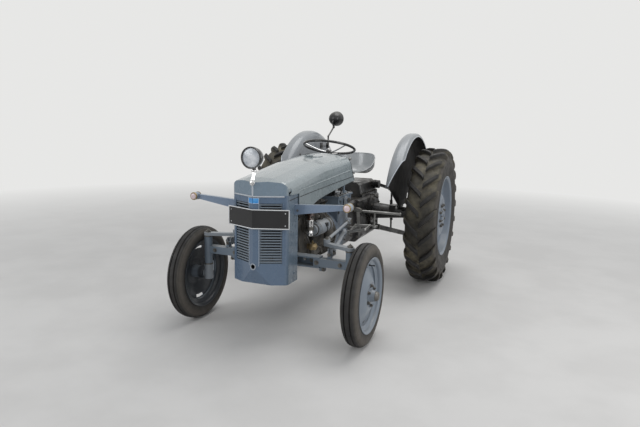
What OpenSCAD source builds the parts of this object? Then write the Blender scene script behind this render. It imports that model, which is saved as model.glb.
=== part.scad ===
// Vintage farm tractor, standing parked on its wheels.
// Lengths are in millimetres. Inside the modules Y is 0 at the front axle,
// the tractor faces -Y, +X is its left side and Z is 0 at the floor.
// at_frame() then moves each piece so that Y 0 lies midway along the machine.

/* [Axles and tracks] */
// Distance between the front and rear axle centres
wheelbase = 1778; // [1700:1:1900]
// Distance between the middles of the front tyres
front_track = 1303; // [1260:1:1400]
// Distance between the middles of the rear tyres
rear_track = 1511; // [1480:1:1600]
// How far each kingpin stands ahead of its wheel's centre
kingpin_lead = 20; // [10:1:30]

/* [Front wheels] */
// Outer radius of a front tyre
front_tyre_r = 348; // [330:1:360]
// Width of a front tyre
front_tyre_w = 114; // [100:1:125]
// Radius of the front rim's flange
front_rim_r = 257; // [240:1:262]
// Radius of the front stub axle
stub_r = 19; // [15:0.5:22]
// Radius of the front hub
front_hub_r = 46; // [40:1:55]
// Radius of the kingpin
kingpin_r = 15; // [12:0.5:17]

/* [Rear wheels] */
// Outer radius of a rear tyre over its lugs
rear_tyre_r = 632; // [600:1:650]
// Width of a rear tyre over its lugs
rear_tyre_w = 280; // [250:1:300]
// Radius of the rear rim's flange
rear_rim_r = 375; // [360:1:390]
// Lugs on each side of a rear tyre
lug_count = 22; // [16:1:26]
// Height of a lug above the tyre's carcass
lug_h = 34; // [20:1:42]
// Thickness of a lug at its top
lug_t = 30; // [20:1:38]
// Radius of the rear hub
rear_hub_r = 92; // [80:1:105]
// Radius of the rear axle shaft
shaft_r = 28; // [22:1:34]

/* [Bonnet and nose] */
// How far the prow of the nose stands ahead of the front axle
prow_y = -345; // [-370:1:-330]
// Where the nose's flat faces meet its side panels
corner_y = -243; // [-255:1:-225]
// Rear edge of the nose's side panels
side_back_y = -90; // [-110:1:-80]
// Half width of the nose
nose_half_w = 203; // [195:1:210]
// Radius of the corner between a flat face and a side panel of the nose
nose_corner_r = 30; // [15:1:36]
// Half width of the bonnet at its rear edge
bonnet_half_w = 243; // [225:1:250]
// Lowest edge of the nose
nose_low_z = 418; // [405:1:440]
// Height of the bead round the nose
bead_z = 1012; // [995:1:1030]
// Wall of the nose and bonnet pressings
sheet_t = 4; // [2.5:0.5:6]
// Rear edge of the bonnet along its top
bonnet_top_back_y = 832; // [790:1:840]
// Rear edge of the bonnet at its skirt
bonnet_skirt_back_y = 958; // [900:1:965]
// Slats in each side of the grille
slat_count = 22; // [14:1:24]
// Lowest edge of the grille openings
grille_low_z = 565; // [550:1:600]
// Highest edge of the grille openings
grille_high_z = 961; // [900:1:970]
// Inner edge of each grille opening, along the nose's face
grille_in = 45; // [40:1:60]
// Outer edge of each grille opening, along the nose's face
grille_out = 190; // [170:1:196]

/* [Lamps and plate] */
// Radius of the headlamp over its rim
headlamp_r = 70; // [60:1:80]
// Height of the headlamp's centre
headlamp_z = 1253; // [1235:1:1270]
// Half width of the number plate
plate_half_w = 225; // [200:1:240]
// Height of the number plate
plate_h = 128; // [110:1:140]
// Distance of a side lamp from the middle plane
side_lamp_x = 575; // [540:1:590]
// Radius of a side lamp
side_lamp_r = 27; // [22:1:32]
// Radius of the work lamp
work_lamp_r = 79; // [65:1:85]

/* [Engine and transmission] */
// Height of the crankshaft
crank_z = 590; // [580:1:600]
// Front face of the engine
engine_front_y = 95; // [90:1:110]
// Face where the engine meets the transmission
clutch_y = 690; // [660:1:700]
// Half width of the cylinder block
block_half_w = 112; // [95:1:120]
// Top of the cylinder block
block_top_z = 800; // [785:1:815]
// Distance from one cylinder to the next
cylinder_pitch = 104; // [98:1:106]
// Radius of the dynamo
dynamo_r = 55; // [45:1:58]
// Radius of the cooling fan over its blades
fan_r = 150; // [130:1:152]
// Width of the fuel tank's half
tank_half_w = 172; // [150:1:185]

/* [Driver's place] */
// Radius of the steering wheel to the middle of its rim
wheel_rim_r = 216; // [190:1:220]
// Half thickness of the steering wheel's rim
wheel_rim_t = 11; // [8:0.5:13]
// How far the steering wheel's rim stands above its hub, along the column
wheel_dish = 46; // [36:1:50]
// Lean of the steering column from upright, in degrees
column_lean = 16.6; // [15.5:0.1:18]
// Radius of the seat pan
seat_r = 224; // [200:1:235]
// Outer radius of a fender's crown
fender_r = 755; // [745:1:775]
// Distance of a fender's inner wall from the middle plane
fender_in_x = 396; // [385:1:410]
// Distance of a fender's outer lip from the middle plane
fender_out_x = 598; // [585:1:604]
// Wall of a fender
fender_t = 4; // [3:0.5:6]

/* [Linkage] */
// Radius of the balls' bores in the lower links
hitch_bore_r = 11.2; // [10:0.1:12]
// Distance between a lower link's two eyes
link_len = 794; // [760:1:810]
// Radius of the power take-off shaft
pto_r = 14.3; // [12:0.1:17.5]
// Radial clearance of a shaft in its bore
fit_gap = 0.05; // [0.02:0.01:0.1]
// Gap of a seated piece to what carries it
seat_gap = 0.3; // [0.2:0.05:0.5]

/* [Hidden] */
$fn = 48;

// Colours, as painted or cast
grey = "#7e8890";
dark_grey = "#4a4f54";
black = "#17181a";
rubber = "#232323";
bright = "#c9ccd0";
seat_grey = "#b9bcbc";

// Places that several pieces share
front_x = front_track / 2;
rear_x = rear_track / 2;
rear_y = wheelbase;
front_z = front_tyre_r;
rear_z = rear_tyre_r;

// Pin that the axle beam rocks on
pivot_z = 537.5;
pivot_r = 16;

// Bonnet hinge
hinge_y = -140;
hinge_z = 480;
hinge_r = 9;

// Kingpins, steering arms and drag links
kingpin_x = front_x - 96;
front_y = 0;
kingpin_y = front_y - kingpin_lead;
kingpin_top_z = 650;
ball_x = 360;
ball_y = 50;
steer_arm_t = 22;
steer_arm_z = kingpin_top_z - 8;
ball_z = steer_arm_z + steer_arm_t + 12;
drop_x = 232;
drop_y = 790;
drop_z = 860;
drop_len = 170;
drop_t = 16;

// Middle of the steering wheel's rim, its hub, and the column's direction
rim_middle = [0, 985, 1273];
column_dir = [0, sin(column_lean), cos(column_lean)];
wheel_hub = rim_middle - column_dir * wheel_dish;
column_r = 22;
steering_lid_z = 892;

// First cylinder of the engine, and the fan's centre
cylinder_y = 240;
fan_z = 780;
head_top_z = 872;
outlet_x = 60;
outlet_z = 950;

// Seat pan: middle and height of its floor, and how far it leans back
seat_y = 1560;
seat_z = 1014;
seat_tilt = 6;

// Underside of the pan's flat floor at y
function pan_under(y) = seat_z - (y - seat_y) * tan(seat_tilt);

// Rear linkage: a row is [x, y, z]
lift_pivot = [0, 1890, 880];
lift_arm_len = 250;
lift_arm_x = 245;
lift_arm_drop = 15;
arm_end = [
  lift_arm_x,
  lift_pivot[1] + lift_arm_len * cos(lift_arm_drop),
  lift_pivot[2] - lift_arm_len * sin(lift_arm_drop)
];
link_pivot = [235, 1760, 470];
link_dir = [0.1763, 0.9515, -0.2521];
link_end = link_pivot + link_len * link_dir / norm(link_dir);
rod_station = 370;
rod_foot = link_pivot + rod_station * link_dir / norm(link_dir);

// Rear ends of the radius rods, and the seats of the steps and the footrests' bar
rod_back = [190, 880, 575];
hoop_in_x = 188;
hoop_y = 945;
hoop_boss_z = 560;
foot_bar_y = 1250;
foot_bar_z = 700;

// Lower edge of the number plate
plate_z = 797;

// Fuel filler under its round lid
filler_y = 640;
lid_r = 74;
lid_hinge_z = 1221;

// Top of the pads on the axle trumpets that carry the fenders
fender_pad_z = 700;

// Foremost and rearmost points, and the middle between them
lamp_front_y = prow_y - 27;
link_eye_r = 28;
back_y = link_end[1] + link_eye_r;
mid_y = (lamp_front_y + back_y) / 2;

// Nose: angle of its flat faces, seen from above
face_angle = atan2(corner_y - prow_y, nose_half_w);

// Helpers

module at_frame() {
  translate([0, -mid_y, 0]) children();
}

module both_sides() {
  children();
  mirror([1, 0, 0]) children();
}

// Round bar from point a to point b
module rod(a, b, r, end_r = 0) {
  d = b - a;
  len = norm(d);
  translate(a)
    rotate([0, acos(d[2] / len), atan2(d[1], d[0])])
      cylinder(r1 = r, r2 = end_r > 0 ? end_r : r, h = len);
}

// Bar of rectangular section from a to b, w wide and t thick
module flat_bar(a, b, w, t) {
  d = b - a;
  len = norm(d);
  translate(a)
    rotate([0, acos(d[2] / len), atan2(d[1], d[0])])
      translate([-t / 2, -w / 2, 0]) cube([t, w, len]);
}

// Outline in the Y-Z plane, filled from x0 to x1
module side_plate(points, x0, x1) {
  translate([x0, 0, 0])
    rotate([90, 0, 90])
      linear_extrude(x1 - x0) polygon(points);
}

// Outline in the X-Z plane, filled from y0 to y1
module cross_plate(points, y0, y1) {
  translate([0, y1, 0])
    rotate([90, 0, 0])
      linear_extrude(y1 - y0) polygon(points);
}

// Points on an arc, seen in its own plane
function arc(c, r, a0, a1, n) =
  [for (i = [0 : n]) c + r * [cos(a0 + (a1 - a0) * i / n), sin(a0 + (a1 - a0) * i / n)]];

// Cylinder along X from x0 to x1
module x_cylinder(x0, x1, y, z, r, r_end = 0) {
  translate([x0, y, z])
    rotate([0, 90, 0])
      cylinder(r1 = r, r2 = r_end > 0 ? r_end : r, h = x1 - x0);
}

// Cylinder along Y from y0 to y1
module y_cylinder(x, y0, y1, z, r, r_end = 0) {
  translate([x, y0, z])
    rotate([-90, 0, 0])
      cylinder(r1 = r, r2 = r_end > 0 ? r_end : r, h = y1 - y0);
}

// Turns a profile of [radius, x] points about the X axis at y, z
module wheel_turn(y, z) {
  translate([0, y, z])
    rotate([0, 90, 0])
      rotate_extrude($fn = 96) children();
}

// Point on the steering column, a distance d below the hub
function column_point(d) = wheel_hub - column_dir * d;

// Chassis castings

module front_support() {
  half_w = 105;
  top_z = 620;
  plate_t = 28;
  front_wall_y = -73;
  rear_wall_y = 40;
  wall = 16;
  cheek = 24;
  color(grey) at_frame() difference() {
    union() {
      // Saddle over the axle beam, its two walls carry the pivot pin
      translate([-half_w, front_wall_y, top_z - plate_t])
        cube([2 * half_w, engine_front_y - front_wall_y, plate_t]);
      translate([-half_w, front_wall_y, 470]) cube([2 * half_w, wall + 8, 124]);
      translate([-half_w, rear_wall_y, 440]) cube([2 * half_w, wall, 154]);
      // Cheeks back to the engine, with the crank pulley between them
      both_sides() translate([half_w - cheek, rear_wall_y, 440])
        cube([cheek, engine_front_y - rear_wall_y, 154]);
      // Tray under the radiator, ending in the bonnet's hinge ears
      translate([-150, -200, 600]) cube([300, 130, 20]);
      both_sides() {
        translate([150, -160, hinge_z - 22]) cube([32, 44, 142]);
        translate([100, -73, 560]) cube([82, 30, 60]);
        // Hinge bolt of the bonnet
        x_cylinder(181, nose_half_w + 6, hinge_y, hinge_z, hinge_r);
      }
      // Pin of the beam
      y_cylinder(0, -60, 50, pivot_z, pivot_r);
    }
    // Slot in the saddle for the crank pulley and its belt
    translate([-66, rear_wall_y + wall, 560])
      cube([132, engine_front_y - rear_wall_y - wall + 1, 80]);
  }
}

module radiator() {
  half_w = 178;
  y0 = -205;
  depth = 85;
  low_z = 620;
  core_low = 668;
  core_high = 950;
  top_h = 62;
  hose_r = 20;
  cap_y = y0 + depth / 2;
  color(black) at_frame() {
    // Tanks
    translate([-half_w, y0, low_z]) cube([2 * half_w, depth, core_low - low_z]);
    translate([-half_w, y0, core_high]) cube([2 * half_w, depth, top_h]);
    translate([0, cap_y, core_high + top_h - 1]) cylinder(r = 26, h = 23);
    translate([0, cap_y, core_high + top_h + 21]) cylinder(r = 32, h = 12);
    // Side bars and core
    both_sides() translate([half_w - 14, y0, core_low - 1]) cube([14, depth, core_high - core_low + 2]);
    translate([-half_w + 13, y0 + 18, core_low - 1])
      cube([2 * half_w - 26, depth - 36, core_high - core_low + 2]);
    // Hoses to the thermostat outlet and from the pump inlet
    rod([outlet_x, y0 + depth - 6, outlet_z + 30], [outlet_x, 88.6, outlet_z], hose_r + 2);
    rod([-130, y0 + depth - 6, low_z + 26], [-116, 77, low_z + 40], hose_r);
  }
}

module engine_block() {
  sump_r = 92;
  cover_t = 12;
  color(dark_grey) at_frame() difference() {
    union() {
      // Crankcase and cylinder block
      translate([-block_half_w, engine_front_y + 35, 500])
        cube([2 * block_half_w, clutch_y - engine_front_y - 65, block_top_z - 500]);
      // Timing cover with the pump inlet and the pump's seat
      cross_plate(concat(
        arc([0, crank_z], 128, 180, 360, 16),
        [[118, fan_z], [60, fan_z + 52], [-60, fan_z + 52], [-118, fan_z]]
      ), engine_front_y, engine_front_y + 36);
      y_cylinder(-112, 80, engine_front_y + 1, 660, 26);
      // Sump, round below
      y_cylinder(0, engine_front_y + 36, clutch_y - 30, 500, sump_r);
      // Flywheel housing flange
      y_cylinder(0, clutch_y - 32, clutch_y, crank_z, 192);
      // Side cover and its rim on the left
      translate([block_half_w - 1, 330, 520]) cube([cover_t + 1, 260, 118]);
      translate([block_half_w - 1, 345, 535]) cube([cover_t + 7, 230, 88]);
      // Starter and its switch on the right, into the flywheel flange
      y_cylinder(-block_half_w - 38, 470, clutch_y - 20, 560, 45);
      y_cylinder(-block_half_w - 48, 500, 600, 618, 20);
      // Oil filter bowl
      translate([block_half_w + 42, 610, 560]) cylinder(r = 40, h = 130);
      translate([block_half_w - 1, 590, 640]) cube([44, 40, 40]);
    }
    translate([-200, 0, 200]) cube([400, 900, 210]);
  }
}

module engine_head() {
  head_y0 = 150;
  head_y1 = 650;
  cover_r = 64;
  cover_z = 930;
  color(dark_grey) at_frame() {
    translate([-100, head_y0, block_top_z]) cube([200, head_y1 - head_y0, head_top_z - block_top_z]);
    // Rocker cover, its roof an arc
    cross_plate(concat(
      arc([0, cover_z], cover_r, 0, 180, 16),
      [[-cover_r, head_top_z - 1], [cover_r, head_top_z - 1]]
    ), head_y0 + 45, head_y1 - 25);
    // Oil filler
    translate([0, 240, cover_z + cover_r - 9]) cylinder(r = 22, h = 26);
    // Thermostat outlet on its elbow
    y_cylinder(outlet_x, 92, head_y0 + 4, outlet_z, 26);
    translate([outlet_x - 26, head_y0, head_top_z - 1]) cube([52, 40, outlet_z - head_top_z + 27]);
    // Sparking plugs along the left side
    for (i = [0 : 3])
      translate([98, cylinder_y + cylinder_pitch * i, 838])
        rotate([0, 60, 0]) cylinder(r = 10, h = 52);
  }
}

module fan_drive() {
  fan_y = 22;
  blade_t = 3;
  blade_w = 70;
  pulley_y = 58;
  pulley_r = 60;
  belt_r = 7;
  color(dark_grey) at_frame() {
    // Pump body, spindle, hub and the fan's pulley with its belt groove
    y_cylinder(0, 88, engine_front_y, fan_z, 44);
    y_cylinder(0, fan_y, 90, fan_z, 20);
    difference() {
      y_cylinder(0, pulley_y, pulley_y + 28, fan_z, pulley_r);
      translate([0, pulley_y + 14, fan_z]) rotate([90, 0, 0])
        rotate_extrude() translate([pulley_r, 0]) circle(r = belt_r);
    }
    y_cylinder(0, fan_y - 4, fan_y + 26, fan_z, 40);
    // Four blades, each set at an angle
    for (a = [20 : 90 : 290])
      translate([0, fan_y + 10, fan_z])
        rotate([0, a, 0]) translate([30, 0, 0])
          rotate([28, 0, 0]) translate([0, -blade_t / 2, -blade_w / 2])
            cube([sqrt(fan_r * fan_r - blade_w * blade_w / 4) - 30, blade_t, blade_w]);
    // Crank pulley
    y_cylinder(0, pulley_y, pulley_y + 28, crank_z, 52);
    y_cylinder(0, pulley_y + 27, engine_front_y, crank_z, 24);
  }
}

module dynamo() {
  x = block_half_w + 56;
  z = 700;
  y0 = 285;
  y1 = 520;
  color(grey) at_frame() {
    y_cylinder(x, y0, y1, z, dynamo_r);
    y_cylinder(x, y0 - 14, y0 + 1, z, dynamo_r - 6);
    y_cylinder(x, y1 - 1, y1 + 12, z, dynamo_r - 8);
    // Pulley with its cooling fan
    y_cylinder(x, y0 - 30, y0 - 13, z, 12);
    y_cylinder(x, y0 - 48, y0 - 28, z, 40);
    // Saddles to the block
    for (y = [y0 + 60, y0 + 150])
      translate([block_half_w + seat_gap, y, z - 58]) cube([56, 30, 36]);
  }
}

module ignition_set() {
  color(bright) at_frame() {
    // Coil
    translate([176, 178, 672]) cylinder(r = 26, h = 118);
    translate([176, 178, 788]) cylinder(r1 = 20, r2 = 12, h = 18);
    translate([176, 178, 804]) cylinder(r = 7, h = 16);
    // Bracket to the block
    translate([block_half_w, 166, 700]) cube([46, 24, 50]);
    // Distributor
    translate([148, 250, 770]) cylinder(r = 30, h = 34);
    translate([148, 250, 803]) cylinder(r1 = 30, r2 = 16, h = 30);
    translate([148, 250, 740]) cylinder(r = 12, h = 32);
    translate([block_half_w, 238, 742]) cube([40, 24, 14]);
  }
}

module exhaust() {
  log_x = -150;
  log_z = 850;
  pipe_x = -185;
  pipe_z = 430;
  pipe_r = 22;
  down_y = 222;
  color(dark_grey) at_frame() {
    for (i = [0 : 3])
      x_cylinder(log_x, -100, cylinder_y + cylinder_pitch * i, log_z - 10, 20);
    y_cylinder(log_x, cylinder_y - 40, cylinder_y + 3 * cylinder_pitch + 28, log_z, 28);
    // Carburettor
    translate([log_x - 8, 420, log_z - 128]) cylinder(r = 30, h = 106);
    translate([log_x - 8, 420, log_z - 150]) cylinder(r = 38, h = 30);
    // Down pipe and silencer
    translate([log_x, down_y, 470]) cylinder(r = pipe_r, h = log_z - 470);
    rod([log_x, down_y, 478], [pipe_x, 330, pipe_z], pipe_r - 1);
    y_cylinder(pipe_x, 320, 780, pipe_z, 46);
    y_cylinder(pipe_x, 775, 1270, pipe_z, pipe_r - 1);
  }
}

module air_cleaner() {
  x = -197;
  y = 618;
  r = 38;
  color(dark_grey) at_frame() {
    translate([x, y, 704]) cylinder(r = r, h = 116);
    translate([x, y, 819]) cylinder(r1 = r, r2 = 28, h = 19);
    translate([x, y, 837]) cylinder(r = 28, h = 70);
    // Bracket to the block
    translate([x + 28, y - 28, 740]) cube([-block_half_w - x - 28 - seat_gap, 22, 40]);
  }
}

module gearbox_housing() {
  color(dark_grey) at_frame() {
    // Clutch bell, tapering to the gearbox
    y_cylinder(0, clutch_y, clutch_y + 30, crank_z, 192);
    y_cylinder(0, clutch_y + 29, clutch_y + 200, crank_z, 180, 150);
    // Gearbox body
    cross_plate([
      [-120, 420], [120, 420], [150, 450], [150, 770], [130, 790],
      [-130, 790], [-150, 770], [-150, 450]
    ], clutch_y + 120, 1330);
    // Flange to the rear axle
    cross_plate([
      [-150, 400], [150, 400], [180, 430], [180, 780], [160, 790],
      [-160, 790], [-180, 780], [-180, 430]
    ], 1300, 1330);
    // Bosses for the radius rods, the steps and the footrests' bar
    both_sides() {
      x_cylinder(120, rod_back[0] - 24 - seat_gap, rod_back[1], rod_back[2], 26);
      x_cylinder(140, hoop_in_x, hoop_y, hoop_boss_z, 34);
      x_cylinder(140, hoop_in_x, foot_bar_y, foot_bar_z, 30);
    }
  }
}

module rear_axle_housing() {
  y0 = 1330;
  y1 = 1985;
  trumpet_in = 190;
  trumpet_out = rear_x - 215;
  plate_out = trumpet_out + 70;
  rocker_y = y1 + 42;
  rocker_z = 800;
  pto_z = 560;
  color(dark_grey) at_frame() difference() {
    union() {
      cross_plate([
        [-150, 400], [150, 400], [180, 430], [180, 780], [160, 790],
        [-160, 790], [-180, 780], [-180, 430]
      ], y0, y0 + 30);
      cross_plate([
        [-120, 385], [120, 385], [165, 430], [165, 770], [145, 790],
        [-145, 790], [-165, 770], [-165, 430]
      ], y0 + 29, y1);
      both_sides() {
        // Round side face, trumpet and brake back plate
        x_cylinder(150, trumpet_in, rear_y, rear_z, 158);
        x_cylinder(trumpet_in - 1, trumpet_out, rear_y, rear_z, 80, 48);
        x_cylinder(trumpet_out - 1, plate_out, rear_y, rear_z, 50);
        x_cylinder(plate_out - 30, plate_out, rear_y, rear_z, 150);
        // Pad for the fender's foot
        translate([fender_in_x - 44, rear_y - 64, rear_z]) cube([52, 128, fender_pad_z - rear_z]);
        // Lower link bosses and their pins
        x_cylinder(150, link_pivot[0] - 12, link_pivot[1], link_pivot[2], 26);
        x_cylinder(link_pivot[0] - 13, link_pivot[0] + 20, link_pivot[1], link_pivot[2], 12);
      }
      // Bearing cap of the take-off shaft and the shaft
      y_cylinder(0, y1 - 1, y1 + 28, pto_z, 62);
      y_cylinder(0, y1 + 27, y1 + 105, pto_z, pto_r);
      // Rocker ears for the top link
      both_sides() side_plate(concat(
        [[y1 - 10, 700], [y1 + 20, 720]],
        arc([rocker_y, rocker_z], 26, -60, 90, 8),
        [[y1 - 10, 788]]
      ), 24, 40);
    }
    // Bores
    x_cylinder(-60, 60, rocker_y, rocker_z, 9.6);
    both_sides() x_cylinder(trumpet_out - 20, plate_out + 10, rear_y, rear_z, shaft_r + fit_gap);
  }
}

module lift_cover() {
  y0 = 1480;
  y1 = 1975;
  lever_y = 1560;
  color(dark_grey) at_frame() difference() {
    union() {
      cross_plate([
        [-150, 790.0], [150, 790], [150, 812], [132, 818], [112, 905], [88, 925],
        [-88, 925], [-112, 905], [-132, 818], [-150, 812]
      ], y0, y1);
      x_cylinder(-158, 158, lift_pivot[1], lift_pivot[2], 42);
      // Quadrant for the lift lever, on the right
      side_plate(concat(
        arc([lever_y, 905], 84, 20, 160, 14),
        [[lever_y - 40, 890], [lever_y + 40, 890]]
      ), -126, -120);
      translate([-126, lever_y - 30, 880]) cube([20, 60, 14]);
    }
    x_cylinder(-170, 170, lift_pivot[1], lift_pivot[2], 22 + fit_gap);
  }
}

module steering_box() {
  z0 = 790;
  lid_t = 12;
  base = column_point(360);
  tube_top = column_point(42);
  color(grey) at_frame() {
    // Case on top of the gearbox, with a flat lid
    cross_plate([
      [-150, z0], [150, z0], [188, z0 + 40], [188, steering_lid_z - lid_t],
      [-188, steering_lid_z - lid_t], [-188, z0 + 40]
    ], 725, 1040);
    translate([-198, 712, steering_lid_z - lid_t]) cube([396, 338, lid_t]);
    both_sides() {
      x_cylinder(180, drop_x - drop_t / 2 - 12, drop_y, drop_z - 24, 44);
      x_cylinder(drop_x - 24, drop_x + drop_t / 2 + 10, drop_y, drop_z, 17);
    }
    // Column, its foot and the steering shaft
    rod(base, tube_top, column_r);
    rod(base, base + column_dir * 60, 40, 28);
    rod(tube_top - column_dir, column_point(4), 9);
  }
}

module battery_box() {
  y0 = 712;
  len = 110;
  color(black) at_frame() {
    translate([-125, y0, steering_lid_z]) cube([250, len, 104]);
    both_sides() translate([118, y0 + 66, steering_lid_z + 8]) cube([24, 40, 8]);
  }
}

module fuel_tank() {
  y0 = 400;
  y1 = 800;
  z0 = 1022;
  z1 = 1150;
  edge = 40;
  color(dark_grey) at_frame() {
    cross_plate(concat(
      arc([tank_half_w - edge, z1 - edge], edge, 0, 90, 8),
      arc([-tank_half_w + edge, z1 - edge], edge, 90, 180, 8),
      arc([-tank_half_w + edge, z0 + edge], edge, 180, 270, 8),
      arc([tank_half_w - edge, z0 + edge], edge, 270, 360, 8)
    ), y0, y1);
    // Filler neck and cap
    translate([0, filler_y, z1 - 1]) cylinder(r = 30, h = 16);
    translate([0, filler_y, z1 + 14]) cylinder(r = 38, h = 15);
    // Legs to the cylinder head and to the steering box's lid
    both_sides() {
      translate([72, 430, head_top_z]) cube([16, 30, z0 - head_top_z + 1]);
      translate([128, 745, steering_lid_z]) cube([14, 24, z0 - steering_lid_z + 1]);
    }
  }
}

module dash_panel() {
  // Slanted panel that follows the bonnet's rear edge, 8 behind it
  low = [bonnet_skirt_back_y + 4, 1010];
  high = [bonnet_top_back_y + 14, 1196];
  depth = 12;
  half_w = 205;
  shoulder = 41;
  lean = atan2(low[0] - high[0], high[1] - low[1]);
  panel_len = norm(low - high);
  color(grey) at_frame() difference() {
    translate([0, low[0], low[1]]) rotate([lean, 0, 0]) union() {
      translate([-half_w, -depth, 0]) cube([2 * half_w, depth, panel_len - shoulder + 1]);
      translate([-half_w + 50, -depth, panel_len - shoulder]) cube([2 * half_w - 100, depth, shoulder]);
      // Instrument bezels
      for (x = [-110, 110])
        translate([x, -1, 96]) rotate([-90, 0, 0]) cylinder(r = 42, h = 9);
      translate([-60, -1, 30]) rotate([-90, 0, 0]) cylinder(r = 14, h = 12);
    }
    rod(column_point(400), wheel_hub, column_r + 1);
  }
  // Legs to the steering box
  color(grey) at_frame() both_sides()
    translate([150, 925, steering_lid_z]) cube([12, 26, 135]);
}

module levers() {
  lift_foot = [-142, 1560, 905];
  lift_top = [-248, 1490, 1060];
  throttle = column_point(80);
  color(dark_grey) at_frame() {
    // Gear lever
    translate([0, 1180, 790]) cylinder(r1 = 60, r2 = 34, h = 40);
    translate([0, 1180, 826]) sphere(r = 36);
    rod([0, 1180, 840], [0, 1215, 1050], 9);
    translate([0, 1217, 1062]) sphere(r = 22);
    // Lift lever
    x_cylinder(-150, -126.3, lift_foot[1], lift_foot[2], 12);
    rod(lift_foot, lift_top, 7);
    translate(lift_top + [-2, -2, 8]) sphere(r = 17);
    // Throttle on the column
    rod(throttle + [column_r + 1.3, 0, 0], throttle + [190, 12, 30], 6);
    translate(throttle + [196, 13, 31]) sphere(r = 13);
  }
}

module pedals() {
  // A row is [shaft x, pad x, pad y, pad z]
  table = [[230, 262, 1010, 742], [-214, -236, 1010, 742], [-250, -292, 1005, 735]];
  pivot_y = 1150;
  pivot_z = 560;
  color(dark_grey) at_frame() {
    x_cylinder(150, 245, pivot_y, pivot_z, 14);
    x_cylinder(-265, -150, pivot_y, pivot_z, 14);
    for (row = table) {
      x_cylinder(row[0] - 14, row[0] + 14, pivot_y, pivot_z, 24);
      flat_bar([row[0], pivot_y - 6, pivot_z + 20], [row[1], row[2] + 14, row[3] - 8], 26, 12);
      translate([row[1], row[2], row[3]]) rotate([-38, 0, 0]) cylinder(r = 38, h = 10);
    }
  }
}

module footrests() {
  // Hooped steps ahead of the pedals and a bar out to the fenders
  hoop_out_x = 352;
  hoop_r = 11;
  leg_x = hoop_in_x + 34;
  far_y = hoop_y + 140;
  z = hoop_boss_z + 34;
  bar_tyre_gap = 40.5;
  bar_end_x = rear_x - rear_tyre_w / 2 - bar_tyre_gap;
  disc_x = 345;
  bends = [
    [hoop_out_x, hoop_y, z], [hoop_out_x, far_y, z + 12], [leg_x, far_y, z + 4], [leg_x, hoop_y, z - 22]
  ];
  color(dark_grey) at_frame() both_sides() {
    x_cylinder(hoop_in_x + seat_gap, hoop_in_x + 30, hoop_y, hoop_boss_z, 18);
    rod([hoop_in_x + 20, hoop_y, hoop_boss_z + 4], bends[0], hoop_r);
    for (i = [0 : 2]) {
      rod(bends[i], bends[i + 1], hoop_r);
      translate(bends[i]) sphere(r = hoop_r + 2);
    }
    // Bar to the fender with its disc foot
    x_cylinder(hoop_in_x + seat_gap, bar_end_x, foot_bar_y, foot_bar_z, 12);
    translate([bar_end_x, foot_bar_y, foot_bar_z]) sphere(r = 15);
    rod([disc_x, foot_bar_y, foot_bar_z], [disc_x - 4, foot_bar_y + 8, 576], 9);
    translate([disc_x - 4, foot_bar_y + 8, 564]) cylinder(r = 34, h = 13);
  }
}

module seat_spring() {
  // Curved bar from the lift cover up to the pan
  t = 12;
  w = 64;
  base_z = 925;
  turn_y = seat_y - 70;
  reach = 30;
  gap = seat_gap + 0.2;
  top = pan_under(turn_y - reach) - gap;
  r = (top - base_z) / (1 + sin(60));
  color(dark_grey) at_frame() {
    translate([-w / 2, turn_y, base_z]) cube([w, 70, t]);
    side_plate(concat(
      arc([turn_y, base_z + r], r, 270, 120, 14),
      arc([turn_y, base_z + r], r - t, 120, 270, 14)
    ), -w / 2, w / 2);
    side_plate([
      [turn_y - reach, pan_under(turn_y - reach) - gap], [turn_y - reach, pan_under(turn_y - reach) - t],
      [seat_y + 30, pan_under(seat_y + 30) - t], [seat_y + 30, pan_under(seat_y + 30) - gap]
    ], -w / 2, w / 2);
  }
}

module seat_pan() {
  // Round pan, tilted back, cut low at the front
  rim_z = 1196;
  wall = 4;
  floor_r = 130;
  high = rim_z - seat_z;
  side_r = seat_r - floor_r;
  color(seat_grey) at_frame() difference() {
    translate([0, seat_y, seat_z]) rotate([-seat_tilt, 0, 0]) rotate_extrude($fn = 72)
      polygon(concat(
        [[0, wall], [0, 0]],
        arc([floor_r, side_r], side_r, 270, 350, 10),
        [[seat_r, high + 24], [seat_r - wall, high + 24]],
        arc([floor_r, side_r], side_r - wall, 350, 270, 10)
      ));
    // Everything above the slanted rim goes
    side_plate([
      [seat_y - 260, seat_z - 19], [seat_y - 140, seat_z - 12], [seat_y, seat_z + 98],
      [seat_y + 130, seat_z + 164], [seat_y + 200, seat_z + 176], [seat_y + 300, seat_z + 178],
      [seat_y + 300, seat_z + 386], [seat_y - 260, seat_z + 386]
    ], -260, 260);
    translate([0, seat_y + 60, seat_z - 30]) cylinder(r = 11, h = 80);
    for (x = [-70, 70])
      translate([x, seat_y - 30, seat_z - 30]) cylinder(r = 8, h = 80);
  }
}

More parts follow.
